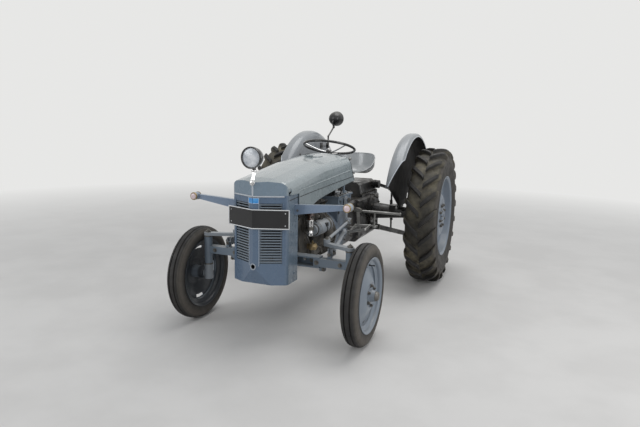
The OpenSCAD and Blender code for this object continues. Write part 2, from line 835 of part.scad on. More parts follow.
// Fender: a turned shell cut along its lower edge
module fender() {
  blend = 104;
  lip_r = 50;
  crown_x = fender_in_x + blend;
  low_r = 60;
  low_z = 812;
  foot_z = fender_pad_z + 4;
  difference() {
    intersection() {
      wheel_turn(rear_y, rear_z + 8)
        polygon(concat(
          [[-low_r, fender_in_x]],
          arc([-(fender_r - blend), crown_x], blend, 270, 180, 12),
          arc([-(fender_r - lip_r), fender_out_x - lip_r], lip_r, 180, 90, 6),
          arc([-(fender_r - lip_r), fender_out_x - lip_r], lip_r - fender_t, 90, 180, 6),
          arc([-(fender_r - blend), crown_x], blend - fender_t, 180, 270, 12),
          [[-low_r, fender_in_x + fender_t]]
        ));
      side_plate([
        [rear_y - 672, low_z], [rear_y - 700, low_z + 60], [rear_y - 730, 1500],
        [rear_y + 780, 1500], [rear_y + 735, low_z + 100], [rear_y + 690, low_z],
        [rear_y + 190, low_z - 10], [rear_y + 130, foot_z], [rear_y - 130, foot_z],
        [rear_y - 190, low_z - 10]
      ], 300, 700);
    }
    // Bolt hole in the inner wall
    x_cylinder(fender_in_x - 10, fender_in_x + 20, rear_y - 480, 1060, 9);
  }
}

module fenders() {
  color(grey) at_frame() both_sides() {
    fender();
    fender_foot();
  }
}

// Angle foot that bolts a fender to the axle trumpet
module fender_foot() {
  translate([fender_in_x - 40, rear_y - 60, fender_pad_z]) cube([41, 120, 8]);
  translate([fender_in_x - 8, rear_y - 60, fender_pad_z]) cube([9, 120, 60]);
}

module work_lamp() {
  // Rear-facing lamp on a bent stem over the right fender
  middle = [-430, rear_y + 492, 1524];
  stem_y = rear_y + 157;
  bowl_len = 118;
  tail = middle + [0, -66, -92];
  plate_x = -fender_in_x + seat_gap;
  color(black) at_frame() {
    translate(middle + [0, 30 - bowl_len, 0]) rotate([-90, 0, 0])
      rotate_extrude($fn = 64) polygon(concat(
        [[0, 0]],
        arc([0, 72], 72, -80, -12, 8),
        [[work_lamp_r, bowl_len - 16], [work_lamp_r, bowl_len], [work_lamp_r - 5, bowl_len],
        [work_lamp_r - 5, bowl_len - 10], [0, bowl_len - 10]]
      ));
    rod(middle + [0, -50, -62], tail, 10);
    translate(tail) sphere(r = 13);
    // Stem down to a plate on the fender's inner wall
    rod(tail, [-385, stem_y, 1340], 8);
    translate([-385, stem_y, 1340]) sphere(r = 10);
    rod([-385, stem_y, 1340], [-385, stem_y, 1230], 8);
    translate([plate_x, stem_y - 30, 1215]) cube([7, 60, 55]);
  }
}

// Front axle

module front_axle() {
  y0 = -40;
  y1 = 35;
  z0 = pivot_z - 37.5;
  z1 = pivot_z + 37.5;
  web = 10;
  half_len = 340;
  hole_pitch = 57;
  arm_x0 = 296;
  color(grey) at_frame() difference() {
    union() {
      // Channel beam, open to the front
      translate([-half_len, y1 - web, z0]) cube([2 * half_len, web, z1 - z0]);
      for (z = [z0, z1 - web])
        translate([-half_len, y0, z]) cube([2 * half_len, y1 - y0, web]);
      // Boss round the pivot pin
      y_cylinder(0, y0, y1, pivot_z, 34);
      both_sides() {
        // Outer arm, slid into the channel, and its kingpin tube
        translate([arm_x0, y0 + 4, z0 + web + 0.3])
          cube([kingpin_x - arm_x0, y1 - web - y0 - 4, z1 - z0 - 2 * web - 0.6]);
        translate([kingpin_x, kingpin_y, 424]) cylinder(r = 29, h = 208);
        // Ear for the radius rod
        translate([388, -6, z1 - web - 1]) cube([24, 36, 40]);
        translate([330, -6, z0 - 26]) cube([40, 30, 40]);
      }
    }
    y_cylinder(0, y0 - 1, y1 + 1, pivot_z, pivot_r + fit_gap);
    both_sides() {
      translate([kingpin_x, kingpin_y, 400]) cylinder(r = kingpin_r + fit_gap, h = 260);
      for (i = [0 : 1])
        y_cylinder(206 + hole_pitch * i, y1 - web - 1, y1 + 1, pivot_z, 10);
      y_cylinder(150, y1 - web - 1, y1 + 1, pivot_z, 10);
    }
  }
}

module radius_rods() {
  r = 15;
  front = [400, 72, 604];
  color(grey) at_frame() both_sides() {
    rod(front, rod_back, r);
    // Front fork on the axle's ear
    difference() {
      translate([382, 12, 578]) cube([36, 70, 52]);
      translate([387.7, 0, 570]) cube([24.6, 30.3, 70]);
    }
    translate(rod_back) sphere(r = 24);
  }
}

// Tilting nose and bonnet

// Half outline of the nose from above, from the prow round to the side's rear edge
function nose_plan(inset) =
  let (
    w = nose_half_w - inset,
    r = nose_corner_r - inset,
    p = prow_y + inset / cos(face_angle),
    c = [w - r, p + (r + (w - r) * sin(face_angle)) / cos(face_angle)]
  )
  concat(
    [[0, p]],
    arc(c, r, -90 + face_angle, 0, 6),
    [[w, side_back_y]]
  );

module nose_prism(inset, z0, z1, back = 0) {
  half = nose_plan(inset);
  translate([0, 0, z0])
    linear_extrude(z1 - z0)
      polygon(concat(
        half,
        [[half[len(half) - 1][0], side_back_y + back], [-half[len(half) - 1][0], side_back_y + back]],
        [for (i = [len(half) - 1 : -1 : 1]) [-half[i][0], half[i][1]]]
      ));
}

// Places its children on the left flat face: x along it, z up, y 0 on the face
module on_face() {
  translate([0, prow_y, 0]) rotate([0, 0, face_angle]) children();
}

module nose_cowl() {
  rake_z = 545;
  top_z = bead_z;
  color(grey) at_frame() difference() {
    union() {
      difference() {
        nose_prism(0, nose_low_z, top_z);
        nose_prism(sheet_t, nose_low_z - 1, top_z + 1, 1);
      }
      // Raked closing plate of the prow's foot
      intersection() {
        nose_prism(0, nose_low_z, rake_z);
        side_plate([
          [prow_y - 5, rake_z + 2], [prow_y + 56, nose_low_z - 1],
          [prow_y + 62, nose_low_z - 1], [prow_y + 2, rake_z + 2]
        ], -nose_half_w, nose_half_w);
      }
      // Raised strips outside the grilles
      both_sides() on_face()
        for (span = [[grille_low_z - 12, plate_z - 7], [plate_z + plate_h + 7, grille_high_z + 12]])
          translate([grille_out + 3, -2.2, span[0]]) cube([10, 3, span[1] - span[0]]);
      // Bead round the nose
      both_sides() on_face()
        rod([0, 1, top_z - 6], [nose_half_w / cos(face_angle) - 22, 1, top_z - 6], 5);
    }
    // Prow's foot cut back
    side_plate([
      [prow_y - 40, rake_z], [prow_y - 0.5, rake_z], [prow_y + 56, nose_low_z - 2],
      [prow_y - 40, nose_low_z - 2]
    ], -nose_half_w - 10, nose_half_w + 10);
    // Grille openings
    both_sides() on_face()
      translate([grille_in, -20, grille_low_z])
        cube([grille_out - grille_in, 40, grille_high_z - grille_low_z]);
    // Hole for the starting handle
    y_cylinder(0, prow_y - 30, prow_y + 60, 545, 13);
    // Hinge holes
    x_cylinder(-nose_half_w - 10, nose_half_w + 10, hinge_y, hinge_z, hinge_r + fit_gap);
  }
}

module grille_slats() {
  pitch = (grille_high_z - grille_low_z) / slat_count;
  slat_h = pitch * 0.5;
  slat_len = grille_out - grille_in - 2 * seat_gap;
  color(grey) at_frame() both_sides() on_face() {
    for (i = [0 : slat_count - 1])
      translate([grille_in + seat_gap, 0, grille_low_z + pitch * (i + 0.25)])
        rotate([90, 0, 90]) linear_extrude(slat_len)
          polygon([[2, slat_h * 0.25], [4, 0], [14, 2], [14, slat_h - 1], [4, slat_h], [2, slat_h * 0.75]]);
    for (x = [grille_in + seat_gap, grille_out - seat_gap - 10])
      translate([x, 13, grille_low_z + 2]) cube([10, 6, grille_high_z - grille_low_z - 4]);
  }
}

// Section of the bonnet in the X-Z plane as a closed outline
function bonnet_section(half_w, top_z, corner_r, drop, low_z) =
  concat(
    [[half_w, low_z]],
    arc([half_w - corner_r, top_z - drop - corner_r], corner_r, 0, 72, 6),
    [[half_w * 0.42, top_z - drop * 0.22], [0, top_z], [-half_w * 0.42, top_z - drop * 0.22]],
    arc([-half_w + corner_r, top_z - drop - corner_r], corner_r, 108, 180, 6),
    [[-half_w, low_z]]
  );

// Bonnet's envelope: a hull over four sections. A row is [y, half width, top z, corner radius, drop]
module bonnet_form(inset) {
  table = [
    [prow_y - 30, nose_half_w, 1088, 58, 18],
    [side_back_y - 150, nose_half_w, 1122, 60, 20],
    [340, nose_half_w + 18, 1196, 62, 22],
    [980, bonnet_half_w, 1240, 64, 26]
  ];
  hull() for (row = table)
    translate([0, row[0] + 0.01, 0]) rotate([90, 0, 0]) linear_extrude(0.02)
      polygon(bonnet_section(row[1] - inset, row[2] - inset, row[3] - inset, row[4], 840));
}

module bonnet_shell() {
  skirt_z0 = 909;
  ridge_top_z = 1075;
  color(grey) at_frame() {
    difference() {
      intersection() {
        difference() {
          bonnet_form(0);
          bonnet_form(sheet_t);
        }
        // Side outline: seam on the nose, skirt, slanted rear edge
        side_plate([
          [side_back_y, bead_z], [side_back_y, 905], [140, skirt_z0], [210, 928], [330, 947],
          [670, 982], [bonnet_skirt_back_y, 1005],
          [bonnet_skirt_back_y - 78, 1124], [bonnet_top_back_y, 1240], [bonnet_top_back_y, 1300],
          [prow_y - 60, 1300], [prow_y - 60, bead_z]
        ], -300, 300);
        // Nothing ahead of the nose's flat faces
        union() {
          nose_prism(0, 800, 1300);
          translate([-300, corner_y + 40, 800]) cube([600, 1400, 500]);
        }
      }
      // Opening for the filler, under its lid
      translate([0, filler_y, 1150]) cylinder(r = lid_r - 12, h = 120);
    }
    // Front wall above the bead
    intersection() {
      difference() {
        nose_prism(0, bead_z, 1200);
        nose_prism(sheet_t, bead_z - 1, 1201, 1);
      }
      bonnet_form(0);
      translate([-300, prow_y - 50, bead_z]) cube([600, corner_y - prow_y + 60, 200]);
    }
    // Beads on the ridge and along the sides
    rod([0, prow_y + 2, bead_z + 3], [0, prow_y + 2, ridge_top_z], 5);
    both_sides() rod([nose_half_w + 1, side_back_y - 132, bead_z + 7], [nose_half_w + 37, 858, 1098], 4);
  }
}

module filler_lid() {
  // Round flap over the fuel filler, with its hinge barrel at the front
  color(grey) at_frame() {
    intersection() {
      difference() {
        bonnet_form(-5);
        bonnet_form(-0.5);
      }
      translate([0, filler_y, 1150]) cylinder(r = lid_r, h = 140);
    }
    x_cylinder(-24, 24, filler_y - lid_r, lid_hinge_z, 6.5);
  }
}

module headlamp() {
  y0 = lamp_front_y;
  bowl_len = 118;
  color(black) at_frame() difference() {
    union() {
      translate([0, y0, headlamp_z]) rotate([-90, 0, 0])
        rotate_extrude($fn = 72) polygon(concat(
          [[0, 14], [headlamp_r - 7, 14], [headlamp_r - 7, 3], [headlamp_r - 4, 0], [headlamp_r, 2]],
          [[headlamp_r, 16], [headlamp_r - 5, 19], [headlamp_r - 5, 48]],
          arc([0, 48], headlamp_r - 6, 0, 84, 10),
          [[0, bowl_len - 6]]
        ));
      // Tail that the bracket takes
      rod([0, y0 + 52, headlamp_z - 50], [0, y0 + 46, headlamp_z - 84], 13);
    }
  }
  // Bracket down to the bonnet's front
  color(bright) at_frame() {
    flat_bar([0, y0 + 44, headlamp_z - 80], [0, prow_y - 3, bead_z + 84], 30, 5);
    y_cylinder(0, prow_y - 9, prow_y - 0.3, bead_z + 82, 17);
  }
}

module headlamp_lens() {
  y0 = lamp_front_y;
  color("#dfe6ea") at_frame()
    translate([0, y0, headlamp_z]) rotate([-90, 0, 0])
      cylinder(r1 = headlamp_r - 12, r2 = headlamp_r - 7.3, h = 13.7, $fn = 72);
}

module number_plate() {
  t = 3;
  mid = prow_y - 8;
  back = 87;
  color(black) at_frame() {
    translate([0, 0, plate_z]) linear_extrude(plate_h)
      polygon([
        [0, mid], [plate_half_w, mid + back], [plate_half_w, mid + back + t],
        [0, mid + t], [-plate_half_w, mid + back + t], [-plate_half_w, mid + back]
      ]);
    // Studs to the nose's faces
    both_sides() on_face() for (z = [plate_z + 24, plate_z + plate_h - 24])
      y_cylinder(202, -26, -seat_gap, z, 5);
  }
}

module badge_plate() {
  color("#2f74b5") at_frame() both_sides() on_face()
    translate([1, -3 - seat_gap, 962]) cube([38, 3, 34]);
}

module lamp_arms() {
  root_x = nose_half_w + seat_gap;
  y = -110;
  wall = 4;
  depth = 34;
  tip_x = side_lamp_x - side_lamp_r + 6;
  face = [[root_x, 875], [root_x, 942], [tip_x, 962], [tip_x, 930]];
  color(grey) at_frame() {
    both_sides() {
      // Channel: face, top and bottom flanges
      cross_plate(face, y - depth, y - depth + wall);
      cross_plate([face[1], face[1] - [0, wall], face[2] - [0, wall], face[2]], y - depth, y);
      cross_plate([face[0], face[0] + [0, wall], face[3] + [0, wall], face[3]], y - depth, y);
      // Root plate on the nose's side
      translate([root_x, y - depth, 872]) cube([wall, depth + 10, 73]);
      // Lamp at the tip, facing forward
      y_cylinder(side_lamp_x, y - 52, y - 6, 948, side_lamp_r);
      y_cylinder(side_lamp_x, y - 60, y - 51, 948, side_lamp_r - 4);
      y_cylinder(side_lamp_x, y - 7, y + 10, 948, side_lamp_r, side_lamp_r - 14);
    }
  }
}

module steering_wheel() {
  hub_r = 27;
  spoke_r = 7;
  color(black) at_frame() translate(wheel_hub) rotate([-column_lean, 0, 0]) {
    translate([0, 0, wheel_dish]) rotate_extrude($fn = 96)
      translate([wheel_rim_r, 0]) circle(r = wheel_rim_t);
    difference() {
      translate([0, 0, -36]) cylinder(r = hub_r, h = 52);
      translate([0, 0, -37]) cylinder(r = 9 + fit_gap, h = 33.1);
    }
    translate([0, 0, 15]) cylinder(r1 = hub_r - 3, r2 = 16, h = 10);
    for (a = [90 : 120 : 330])
      rod([22 * cos(a), 22 * sin(a), 0], [wheel_rim_r * cos(a), wheel_rim_r * sin(a), wheel_dish], spoke_r);
  }
}

// Steering

module knuckle() {
  // Kingpin, stub axle and steering arm
  translate([kingpin_x, kingpin_y, front_z - 30]) cylinder(r = kingpin_r, h = steer_arm_z - front_z + 31);
  translate([kingpin_x, kingpin_y, front_z - 34]) cylinder(r = 33, h = 423.7 - front_z + 34);
  x_cylinder(kingpin_x, front_x + 18, front_y, front_z, stub_r);
  x_cylinder(kingpin_x + 8, kingpin_x + 44, front_y, front_z, 34);
  translate([0, 0, steer_arm_z]) linear_extrude(steer_arm_t) union() {
    translate([kingpin_x, kingpin_y]) circle(r = 30);
    translate([ball_x, ball_y]) circle(r = 22);
    polygon([
      [kingpin_x - 8, kingpin_y - 28], [kingpin_x + 14, kingpin_y + 24],
      [ball_x + 7, ball_y + 20], [ball_x - 7, ball_y - 20]
    ]);
  }
  // Ball stud that the drag link takes
  translate([ball_x, ball_y, steer_arm_z + steer_arm_t - 1]) cylinder(r = 10, h = 25);
}

module knuckle_left() {
  color(grey) at_frame() knuckle();
}

module knuckle_right() {
  color(grey) at_frame() mirror([1, 0, 0]) knuckle();
}

module drop_arm() {
  low_z = drop_z - drop_len;
  x0 = drop_x - drop_t / 2;
  difference() {
    union() {
      x_cylinder(x0, x0 + drop_t, drop_y, drop_z, 30);
      x_cylinder(x0, x0 + drop_t, drop_y, low_z, 22);
      side_plate([
        [drop_y - 29, drop_z], [drop_y - 20, low_z], [drop_y + 20, low_z], [drop_y + 29, drop_z]
      ], x0, x0 + drop_t);
      // Ball at the foot
      x_cylinder(x0 + drop_t - 1, x0 + drop_t + 8, drop_y, low_z, 14);
    }
    x_cylinder(x0 - 1, x0 + drop_t + 1, drop_y, drop_z, 17 + fit_gap);
  }
}

module drop_arm_left() {
  color(grey) at_frame() drop_arm();
}

module drop_arm_right() {
  color(grey) at_frame() mirror([1, 0, 0]) drop_arm();
}

module drag_link() {
  back_x = drop_x + drop_t / 2 + 8 + seat_gap;
  foot = [back_x + 16, drop_y, drop_z - drop_len];
  difference() {
    union() {
      // Front eye over the ball stud
      translate([ball_x, ball_y, ball_z - 11.7]) cylinder(r = 24, h = 24);
      rod([ball_x - 3, ball_y + 16, ball_z + 4.5], foot + [0, -22, 0], 11);
    }
    translate([ball_x, ball_y, ball_z - 20]) cylinder(r = 10 + fit_gap, h = 40);
  }
  // Rear end facing the drop arm's ball
  x_cylinder(back_x, back_x + 32, drop_y, drop_z - drop_len, 24);
}

module drag_link_left() {
  color(grey) at_frame() drag_link();
}

module drag_link_right() {
  color(grey) at_frame() mirror([1, 0, 0]) drag_link();
}

// Wheels

// Front tyre's profile as [minus radius, x] about its middle, three ribs and two grooves
module front_tyre_profile() {
  h = front_tyre_w / 2;
  r = front_tyre_r;
  bead = front_rim_r - 16;
  groove = 10;
  polygon([
    [-bead, -h + 14], [-bead - 26, -h + 4], [-(r + bead) / 2, -h], [-r + 34, -h + 4],
    [-r + 16, -h + 12], [-r + 8, -h + 24],
    [-r + 4, -24], [-r + 4 + groove, -21], [-r + 4 + groove, -15], [-r, -12],
    [-r, 12], [-r + 4 + groove, 15], [-r + 4 + groove, 21], [-r + 4, 24],
    [-r + 8, h - 24], [-r + 16, h - 12],
    [-r + 34, h - 4], [-(r + bead) / 2, h], [-bead - 26, h - 4], [-bead, h - 14],
    [-bead + 3, h - 22], [-bead + 3, -h + 22]
  ]);
}

module front_tyre() {
  wheel_turn(front_y, front_z) translate([0, front_x]) front_tyre_profile();
}

module front_tyre_left() {
  color(rubber) at_frame() front_tyre();
}

module front_tyre_right() {
  color(rubber) at_frame() mirror([1, 0, 0]) front_tyre();
}

module front_rim() {
  h = front_tyre_w / 2;
  r = front_rim_r;
  seat = r - 16 - 3 - seat_gap;
  slot_r = seat - 31;
  difference() {
    union() {
      // Rim: flanges, bead seats and well
      wheel_turn(front_y, front_z) translate([0, front_x]) polygon([
        [-r, -h + 2], [-r, -h + 7], [-seat, -h + 13.4], [-seat, -24], [-seat + 27, -16],
        [-seat + 27, 16], [-seat, 24], [-seat, h - 13.4], [-r, h - 7], [-r, h - 2],
        [-seat + 4, h - 9], [-seat + 5, 27], [-seat + 31, 20],
        [-seat + 31, -20], [-seat + 5, -27], [-seat + 4, -h + 9]
      ]);
      // Dished disc
      wheel_turn(front_y, front_z) translate([0, front_x]) polygon([
        [-seat + 29, -4], [-seat + 29, 4], [-seat + 57, 14], [-110, 26], [-84, 12], [-front_hub_r + 1, 12],
        [-front_hub_r + 1, 4], [-80, 4], [-106, 18], [-seat + 59, 6]
      ]);
      // Hub and grease cap
      x_cylinder(front_x - 50, front_x + 24, front_y, front_z, front_hub_r);
      x_cylinder(front_x + 23, front_x + 46, front_y, front_z, 33, 28);
      x_cylinder(front_x + 45, front_x + 54, front_y, front_z, 28, 18);
    }
    x_cylinder(front_x - 51, front_x + 18.4, front_y, front_z, stub_r + fit_gap);
    // Slots near the rim
    for (a = [0 : 90 : 270])
      translate([front_x, front_y, front_z]) rotate([a, 0, 0])
        translate([-30, -36, slot_r - 22]) cube([60, 72, 20]);
  }
}

module front_rim_left() {
  color(grey) at_frame() front_rim();
}

module front_rim_right() {
  color(grey) at_frame() mirror([1, 0, 0]) front_rim();
}

// One lug as a swept bar. A row is [x from the middle, angle, radius, half thickness]
module lug(side) {
  h = rear_tyre_w / 2;
  base = rear_tyre_r - lug_h - 6;
  table = [
    [6 * side, 0, rear_tyre_r - 4, lug_t / 2],
    [h * 0.34 * side, 3.6, rear_tyre_r, lug_t / 2],
    [h * 0.72 * side, 8.4, rear_tyre_r - 8, lug_t / 2 + 1],
    [h * side, 11.6, rear_tyre_r - 34, lug_t / 2 + 3],
    [(h - 2) * side, 13.2, rear_tyre_r - 66, lug_t / 2 + 2]
  ];
  // Four corners a row: base rear, base front, top front, top rear
  points = [for (row = table) let (
    low = min(base, row[2] - 12),
    da = row[3] / rear_tyre_r * 57.3,
    db = (row[3] + 5) / rear_tyre_r * 57.3
  ) each [
    [row[0], low * sin(row[1] - db), low * cos(row[1] - db)],
    [row[0], low * sin(row[1] + db), low * cos(row[1] + db)],
    [row[0], row[2] * sin(row[1] + da), row[2] * cos(row[1] + da)],
    [row[0], row[2] * sin(row[1] - da), row[2] * cos(row[1] - da)]
  ]];
  n = len(table);
  flip = side < 0;
  faces = concat(
    [[0, 1, 2], [0, 2, 3]],
    [for (i = [0 : n - 2]) for (j = [0 : 3]) let (
      a = 4 * i + j, b = 4 * i + (j + 1) % 4, c = a + 4, d = b + 4
    ) each [[a, c, b], [b, c, d]]],
    [[4 * n - 4, 4 * n - 2, 4 * n - 3], [4 * n - 4, 4 * n - 1, 4 * n - 2]]
  );
  polyhedron(points, flip ? [for (f = faces) [f[2], f[1], f[0]]] : faces);
}

module rear_tyre() {
  h = rear_tyre_w / 2;
  crown = rear_tyre_r - lug_h;
  bead = rear_rim_r - 18;
  wheel_turn(rear_y, rear_z) translate([0, rear_x]) polygon([
    [-bead, -h + 30], [-bead - 40, -h + 12], [-(crown + bead) / 2, -h + 2], [-crown + 70, -h + 4],
    [-crown + 26, -h + 22], [-crown + 6, -h + 60], [-crown, 0], [-crown + 6, h - 60],
    [-crown + 26, h - 22], [-crown + 70, h - 4], [-(crown + bead) / 2, h - 2], [-bead - 40, h - 12],
    [-bead, h - 30], [-bead + 4, h - 40], [-bead + 4, -h + 40]
  ]);
  for (i = [0 : lug_count - 1])
    for (side = [-1, 1])
      translate([rear_x, rear_y, rear_z])
        rotate([360 / lug_count * (i + (side > 0 ? 0.5 : 0)), 0, 0]) lug(side);
}

module rear_tyre_left() {
  color(rubber) at_frame() rear_tyre();
}

module rear_tyre_right() {
  color(rubber) at_frame() mirror([1, 0, 0]) rear_tyre();
}

module rear_rim() {
  h = rear_tyre_w / 2;
  r = rear_rim_r;
  seat = r - 18 - 4 - seat_gap;
  well = seat - 42;
  disc_x = rear_x - 40;
  difference() {
    union() {
      wheel_turn(rear_y, rear_z) translate([0, rear_x]) polygon([
        [-r, -h + 15], [-r, -h + 20.5], [-seat, -h + 29.5], [-seat, -44], [-well, -30],
        [-well, 30], [-seat, 44], [-seat, h - 29.5], [-r, h - 20.5], [-r, h - 15],
        [-seat + 5, h - 24.5], [-seat + 6, 48], [-well + 5, 35],
        [-well + 5, -35], [-seat + 6, -48], [-seat + 5, -h + 24.5]
      ]);
      // Dished disc, its middle set in
      wheel_turn(rear_y, rear_z) translate([0, rear_x]) polygon([
        [-well + 4, 4], [-well + 4, -4], [-well + 40, -14], [-190, -52], [-150, -56], [-rear_hub_r + 1, -56],
        [-rear_hub_r + 1, -48], [-146, -48], [-186, -44], [-well + 36, -6]
      ]);
      // Hub, flange and the axle shaft
      x_cylinder(rear_x - 120, rear_x - 30, rear_y, rear_z, rear_hub_r);
      x_cylinder(rear_x - 31, rear_x - 8, rear_y, rear_z, 58, 50);
      x_cylinder(rear_x - 160, rear_x - 119, rear_y, rear_z, shaft_r);
    }
    // Gaps between the disc and the rim
    for (a = [45 : 90 : 315])
      translate([rear_x, rear_y, rear_z]) rotate([a, 0, 0])
        translate([-70, -95, well - 52]) cube([140, 190, 30]);
  }
}

module rear_rim_left() {
  color(grey) at_frame() rear_rim();
}

module rear_rim_right() {
  color(grey) at_frame() mirror([1, 0, 0]) rear_rim();
}

// Linkage at the rear

module lift_arms() {
  shaft_end = 196;
  color(dark_grey) at_frame() {
    x_cylinder(-shaft_end, shaft_end, lift_pivot[1], lift_pivot[2], 22);
    both_sides() {
      x_cylinder(165, shaft_end, lift_pivot[1], lift_pivot[2], 40);
      flat_bar([182, lift_pivot[1] + 20, lift_pivot[2] - 5], arm_end + [-8, -12, 4], 18, 30);
      x_cylinder(arm_end[0] - 14, arm_end[0] + 4, arm_end[1], arm_end[2], 22);
      x_cylinder(arm_end[0] + 3, arm_end[0] + 26, arm_end[1], arm_end[2], 10);
    }
  }
}

module lift_rod() {
  eye_x = arm_end[0] + 4.3;
  foot_x = rod_foot[0] - 36;
  difference() {
    union() {
      x_cylinder(eye_x, eye_x + 20, arm_end[1], arm_end[2], 22);
      rod([eye_x + 12, arm_end[1], arm_end[2] - 18], [foot_x + 10, rod_foot[1], rod_foot[2] + 18], 9);
      x_cylinder(foot_x, foot_x + 20, rod_foot[1], rod_foot[2], 22);
      rod([eye_x + 12, arm_end[1], arm_end[2] - 120], [foot_x + 11, rod_foot[1], rod_foot[2] + 110], 15);
    }
    x_cylinder(eye_x - 1, eye_x + 21, arm_end[1], arm_end[2], 10 + fit_gap);
  }
}

module lift_rod_left() {
  color(dark_grey) at_frame() lift_rod();
}

module lift_rod_right() {
  color(dark_grey) at_frame() mirror([1, 0, 0]) lift_rod();
}

module lower_link() {
  eye_w = 26;
  difference() {
    union() {
      x_cylinder(link_pivot[0] - 12 + seat_gap, link_pivot[0] + 14, link_pivot[1], link_pivot[2], link_eye_r);
      x_cylinder(link_end[0] - eye_w / 2, link_end[0] + eye_w / 2, link_end[1], link_end[2], link_eye_r);
      flat_bar(link_pivot + [3, 20, -5], link_end + [-3, -20, 5], 16, 46);
      // Boss that faces the lift rod
      x_cylinder(rod_foot[0] - 15.7, rod_foot[0], rod_foot[1], rod_foot[2], 18);
    }
    x_cylinder(link_pivot[0] - 30, link_pivot[0] + 30, link_pivot[1], link_pivot[2], 12 + fit_gap);
    x_cylinder(link_end[0] - 20, link_end[0] + 20, link_end[1], link_end[2], hitch_bore_r);
  }
}

module lower_link_left() {
  color(dark_grey) at_frame() lower_link();
}

module lower_link_right() {
  color(dark_grey) at_frame() mirror([1, 0, 0]) lower_link();
}

front_support();
radiator();
engine_block();
engine_head();
fan_drive();
dynamo();
ignition_set();
exhaust();
air_cleaner();
gearbox_housing();
rear_axle_housing();
lift_cover();
steering_box();
battery_box();
fuel_tank();
dash_panel();
levers();
pedals();
footrests();
seat_spring();
seat_pan();
fenders();
work_lamp();
front_axle();
radius_rods();
nose_cowl();
grille_slats();
bonnet_shell();
headlamp();
headlamp_lens();
number_plate();
badge_plate();
lamp_arms();
filler_lid();
steering_wheel();
knuckle_left();
knuckle_right();
drop_arm_left();
drop_arm_right();
drag_link_left();
drag_link_right();
front_tyre_left();
front_tyre_right();
front_rim_left();
front_rim_right();
rear_tyre_left();
rear_tyre_right();
rear_rim_left();
rear_rim_right();
lift_arms();
lift_rod_left();
lift_rod_right();
lower_link_left();
lower_link_right();
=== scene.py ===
import math

import bmesh
import bpy
from mathutils import Matrix, Vector
from mathutils.bvhtree import BVHTree


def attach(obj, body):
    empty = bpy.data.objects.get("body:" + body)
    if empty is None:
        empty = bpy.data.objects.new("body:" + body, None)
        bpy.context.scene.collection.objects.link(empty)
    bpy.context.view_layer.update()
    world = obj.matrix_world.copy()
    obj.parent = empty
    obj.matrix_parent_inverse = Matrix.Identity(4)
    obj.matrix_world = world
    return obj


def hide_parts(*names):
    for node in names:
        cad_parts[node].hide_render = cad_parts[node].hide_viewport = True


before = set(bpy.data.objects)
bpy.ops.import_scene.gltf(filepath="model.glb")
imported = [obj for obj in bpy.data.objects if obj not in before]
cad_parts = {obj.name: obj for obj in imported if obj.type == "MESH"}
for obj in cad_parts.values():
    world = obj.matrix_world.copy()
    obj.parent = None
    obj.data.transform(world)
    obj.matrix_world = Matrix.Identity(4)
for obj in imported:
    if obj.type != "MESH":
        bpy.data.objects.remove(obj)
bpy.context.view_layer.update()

# Sizes are in millimetres: X to the tractor's left, Y back from the front axle, Z up from the floor
MM = 0.001
MID_Y = 1085.7477
TO_FRAME = Matrix.Scale(MM, 4) @ Matrix.Translation((0, -MID_Y, 0))
FRONT_X, REAR_X, REAR_Y = 651.5, 755.5, 1778.0
FRONT_R, REAR_R = 348.0, 632.0
PROW_Y, FACE_ANGLE = -345.0, math.atan2(102, 203)
WHEEL_HUB, COLUMN_LEAN = Vector((0, 971.9, 1228.9)), math.radians(16.6)
ALONG_COLUMN = Matrix.Translation(WHEEL_HUB) @ Matrix.Rotation(-COLUMN_LEAN, 4, "X")
SIDES = (("left", 1), ("right", -1))
LAMP_Y, LAMP_Z = -372.0, 1253.0

# The camera as solved on the photo, in metres and degrees, and the studio's colours
CAMERA_AT, CAMERA_LENS = (1.6796, -4.4190, 1.4785), 30.34
YAW, PITCH, ROLL = (math.radians(a) for a in (-22.112, -9.566, 1.114))
BACKDROP, SKY = (0.80, 0.80, 0.79, 1), (0.93, 0.96, 1.0, 1)


def link_object(name, data):
    made = bpy.data.objects.new(name, data)
    bpy.context.scene.collection.objects.link(made)
    return made


def add_node(tree, kind, feeds=None, **settings):
    """A node with its settings, fed by other nodes' sockets or by plain values."""
    made = tree.nodes.new(kind)
    for key, value in settings.items():
        setattr(made, key, value)
    for key, value in (feeds or {}).items():
        if isinstance(value, bpy.types.NodeSocket):
            tree.links.new(value, made.inputs[key])
        else:
            made.inputs[key].default_value = value
    return made


# Camera, floor and light
def place_camera():
    ahead = Vector((math.sin(YAW) * math.cos(PITCH), math.cos(YAW) * math.cos(PITCH), math.sin(PITCH)))
    level = ahead.cross(Vector((0, 0, 1))).normalized()
    above = level.cross(ahead)
    right = math.cos(ROLL) * level + math.sin(ROLL) * above
    up = math.cos(ROLL) * above - math.sin(ROLL) * level
    data = bpy.data.cameras.new("camera")
    data.lens, data.sensor_width, data.clip_end = CAMERA_LENS, 36.0, 100
    camera = link_object("camera", data)
    camera.matrix_world = Matrix.Translation(CAMERA_AT) @ Matrix((right, up, -ahead)).transposed().to_4x4()
    bpy.context.scene.camera = camera


def area_light(name, place, aim, size, watts, tint=(1, 1, 1)):
    data = bpy.data.lights.new(name, "AREA")
    data.shape, data.size, data.energy, data.color = "DISK", size, watts, tint
    lamp = link_object(name, data)
    lamp.location = place
    lamp.rotation_euler = (Vector(aim) - Vector(place)).to_track_quat("-Z", "Y").to_euler()


